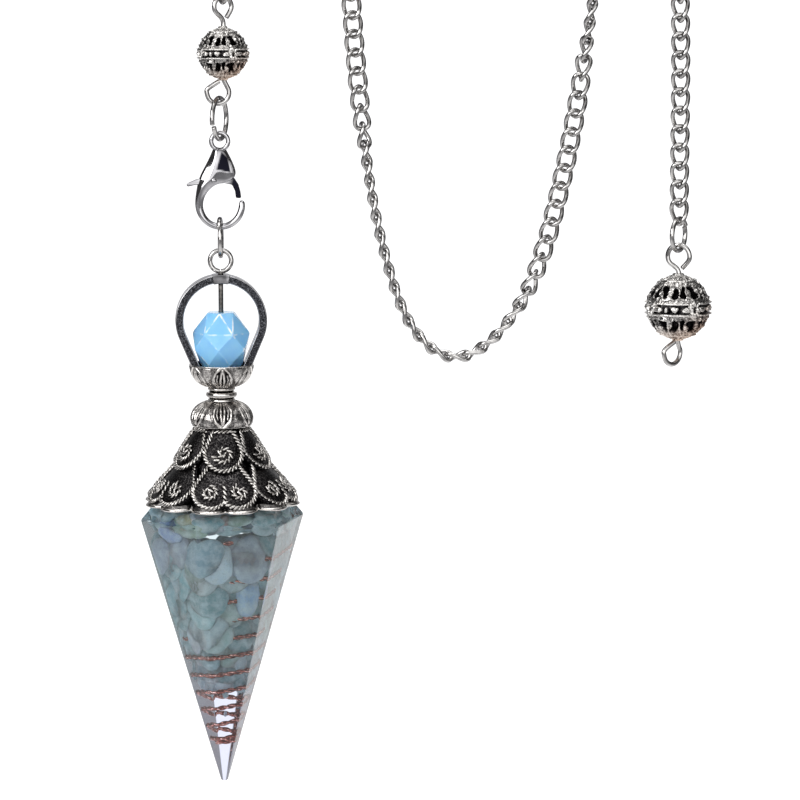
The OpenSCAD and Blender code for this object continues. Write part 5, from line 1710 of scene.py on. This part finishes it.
class PENDANT_OT_hoop(bpy.types.Operator):
    """Adds the hoop and its sleeve"""
    bl_idname = "pendant.hoop"
    bl_label = "Bail hoop"
    bl_options = {"UNDO"}

    def execute(self, context):
        build_hoop(context.scene.pendant_body)
        return {"FINISHED"}


class PENDANT_OT_blue_bead(bpy.types.Operator):
    """Adds the facetted bead"""
    bl_idname = "pendant.blue_bead"
    bl_label = "Blue bead"
    bl_options = {"UNDO"}

    def execute(self, context):
        build_blue_bead(context.scene.pendant_body)
        return {"FINISHED"}


class PENDANT_OT_caps(bpy.types.Operator):
    """Adds the three turned caps"""
    bl_idname = "pendant.caps"
    bl_label = "Cup, spacer and dome"
    bl_options = {"UNDO"}

    def execute(self, context):
        build_caps(context.scene.pendant_body)
        return {"FINISHED"}


class PENDANT_OT_skirt(bpy.types.Operator):
    """Adds the skirt's petals and ropes"""
    bl_idname = "pendant.skirt"
    bl_label = "Skirt cap"
    bl_options = {"UNDO"}

    def execute(self, context):
        build_skirt(context.scene.pendant_body)
        return {"FINISHED"}


class PENDANT_OT_chips(bpy.types.Operator):
    """Adds the stones in the resin"""
    bl_idname = "pendant.chips"
    bl_label = "Stone chips"
    bl_options = {"UNDO"}

    def execute(self, context):
        build_chips(context.scene.pendant_resin)
        return {"FINISHED"}


class PENDANT_OT_bed(bpy.types.Operator):
    """Adds the smaller stones between the chips"""
    bl_idname = "pendant.bed"
    bl_label = "Stone bed"
    bl_options = {"UNDO"}

    def execute(self, context):
        build_bed(context.scene.pendant_resin)
        return {"FINISHED"}


class PENDANT_OT_coil(bpy.types.Operator):
    """Adds the twisted copper coil"""
    bl_idname = "pendant.coil"
    bl_label = "Copper coil"
    bl_options = {"UNDO"}

    def execute(self, context):
        build_coil(context.scene.pendant_resin)
        return {"FINISHED"}


class PENDANT_OT_resin(bpy.types.Operator):
    """Adds the resin point"""
    bl_idname = "pendant.resin"
    bl_label = "Resin point"
    bl_options = {"UNDO"}

    def execute(self, context):
        build_resin(context.scene.pendant_resin)
        return {"FINISHED"}


OPERATORS = [PENDANT_OT_stage, PENDANT_OT_chain, PENDANT_OT_rings, PENDANT_OT_pins, PENDANT_OT_filigree,
             PENDANT_OT_clasp, PENDANT_OT_hoop, PENDANT_OT_blue_bead, PENDANT_OT_caps, PENDANT_OT_skirt,
             PENDANT_OT_chips, PENDANT_OT_bed, PENDANT_OT_coil, PENDANT_OT_resin]
GROUPS = {"pendant_stage": StageSettings, "pendant_chain": ChainSettings, "pendant_findings": FindingSettings,
          "pendant_body": PendantSettings, "pendant_resin": ResinSettings}


class PENDANT_PT_pieces(bpy.types.Panel):
    """Lists the pieces of the pendant"""
    bl_label = "Pendulum pendant"
    bl_space_type = "VIEW_3D"
    bl_region_type = "UI"
    bl_category = "Pendant"

    def draw(self, context):
        for cls in OPERATORS:
            self.layout.operator(cls.bl_idname)


def register():
    for group in GROUPS.values():
        bpy.utils.register_class(group)
    for name, group in GROUPS.items():
        setattr(bpy.types.Scene, name, bpy.props.PointerProperty(type=group))
    for cls in OPERATORS:
        bpy.utils.register_class(cls)
    bpy.utils.register_class(PENDANT_PT_pieces)


def unregister():
    bpy.utils.unregister_class(PENDANT_PT_pieces)
    for cls in reversed(OPERATORS):
        bpy.utils.unregister_class(cls)
    for name, group in GROUPS.items():
        delattr(bpy.types.Scene, name)
        bpy.utils.unregister_class(group)


def main():
    register()
    for cls in OPERATORS:
        result = getattr(bpy.ops.pendant, cls.bl_idname.split(".")[1])()
        if "FINISHED" not in result:
            raise RuntimeError(f"{cls.bl_label} wasn't built")


if __name__ == "__main__":
    main()
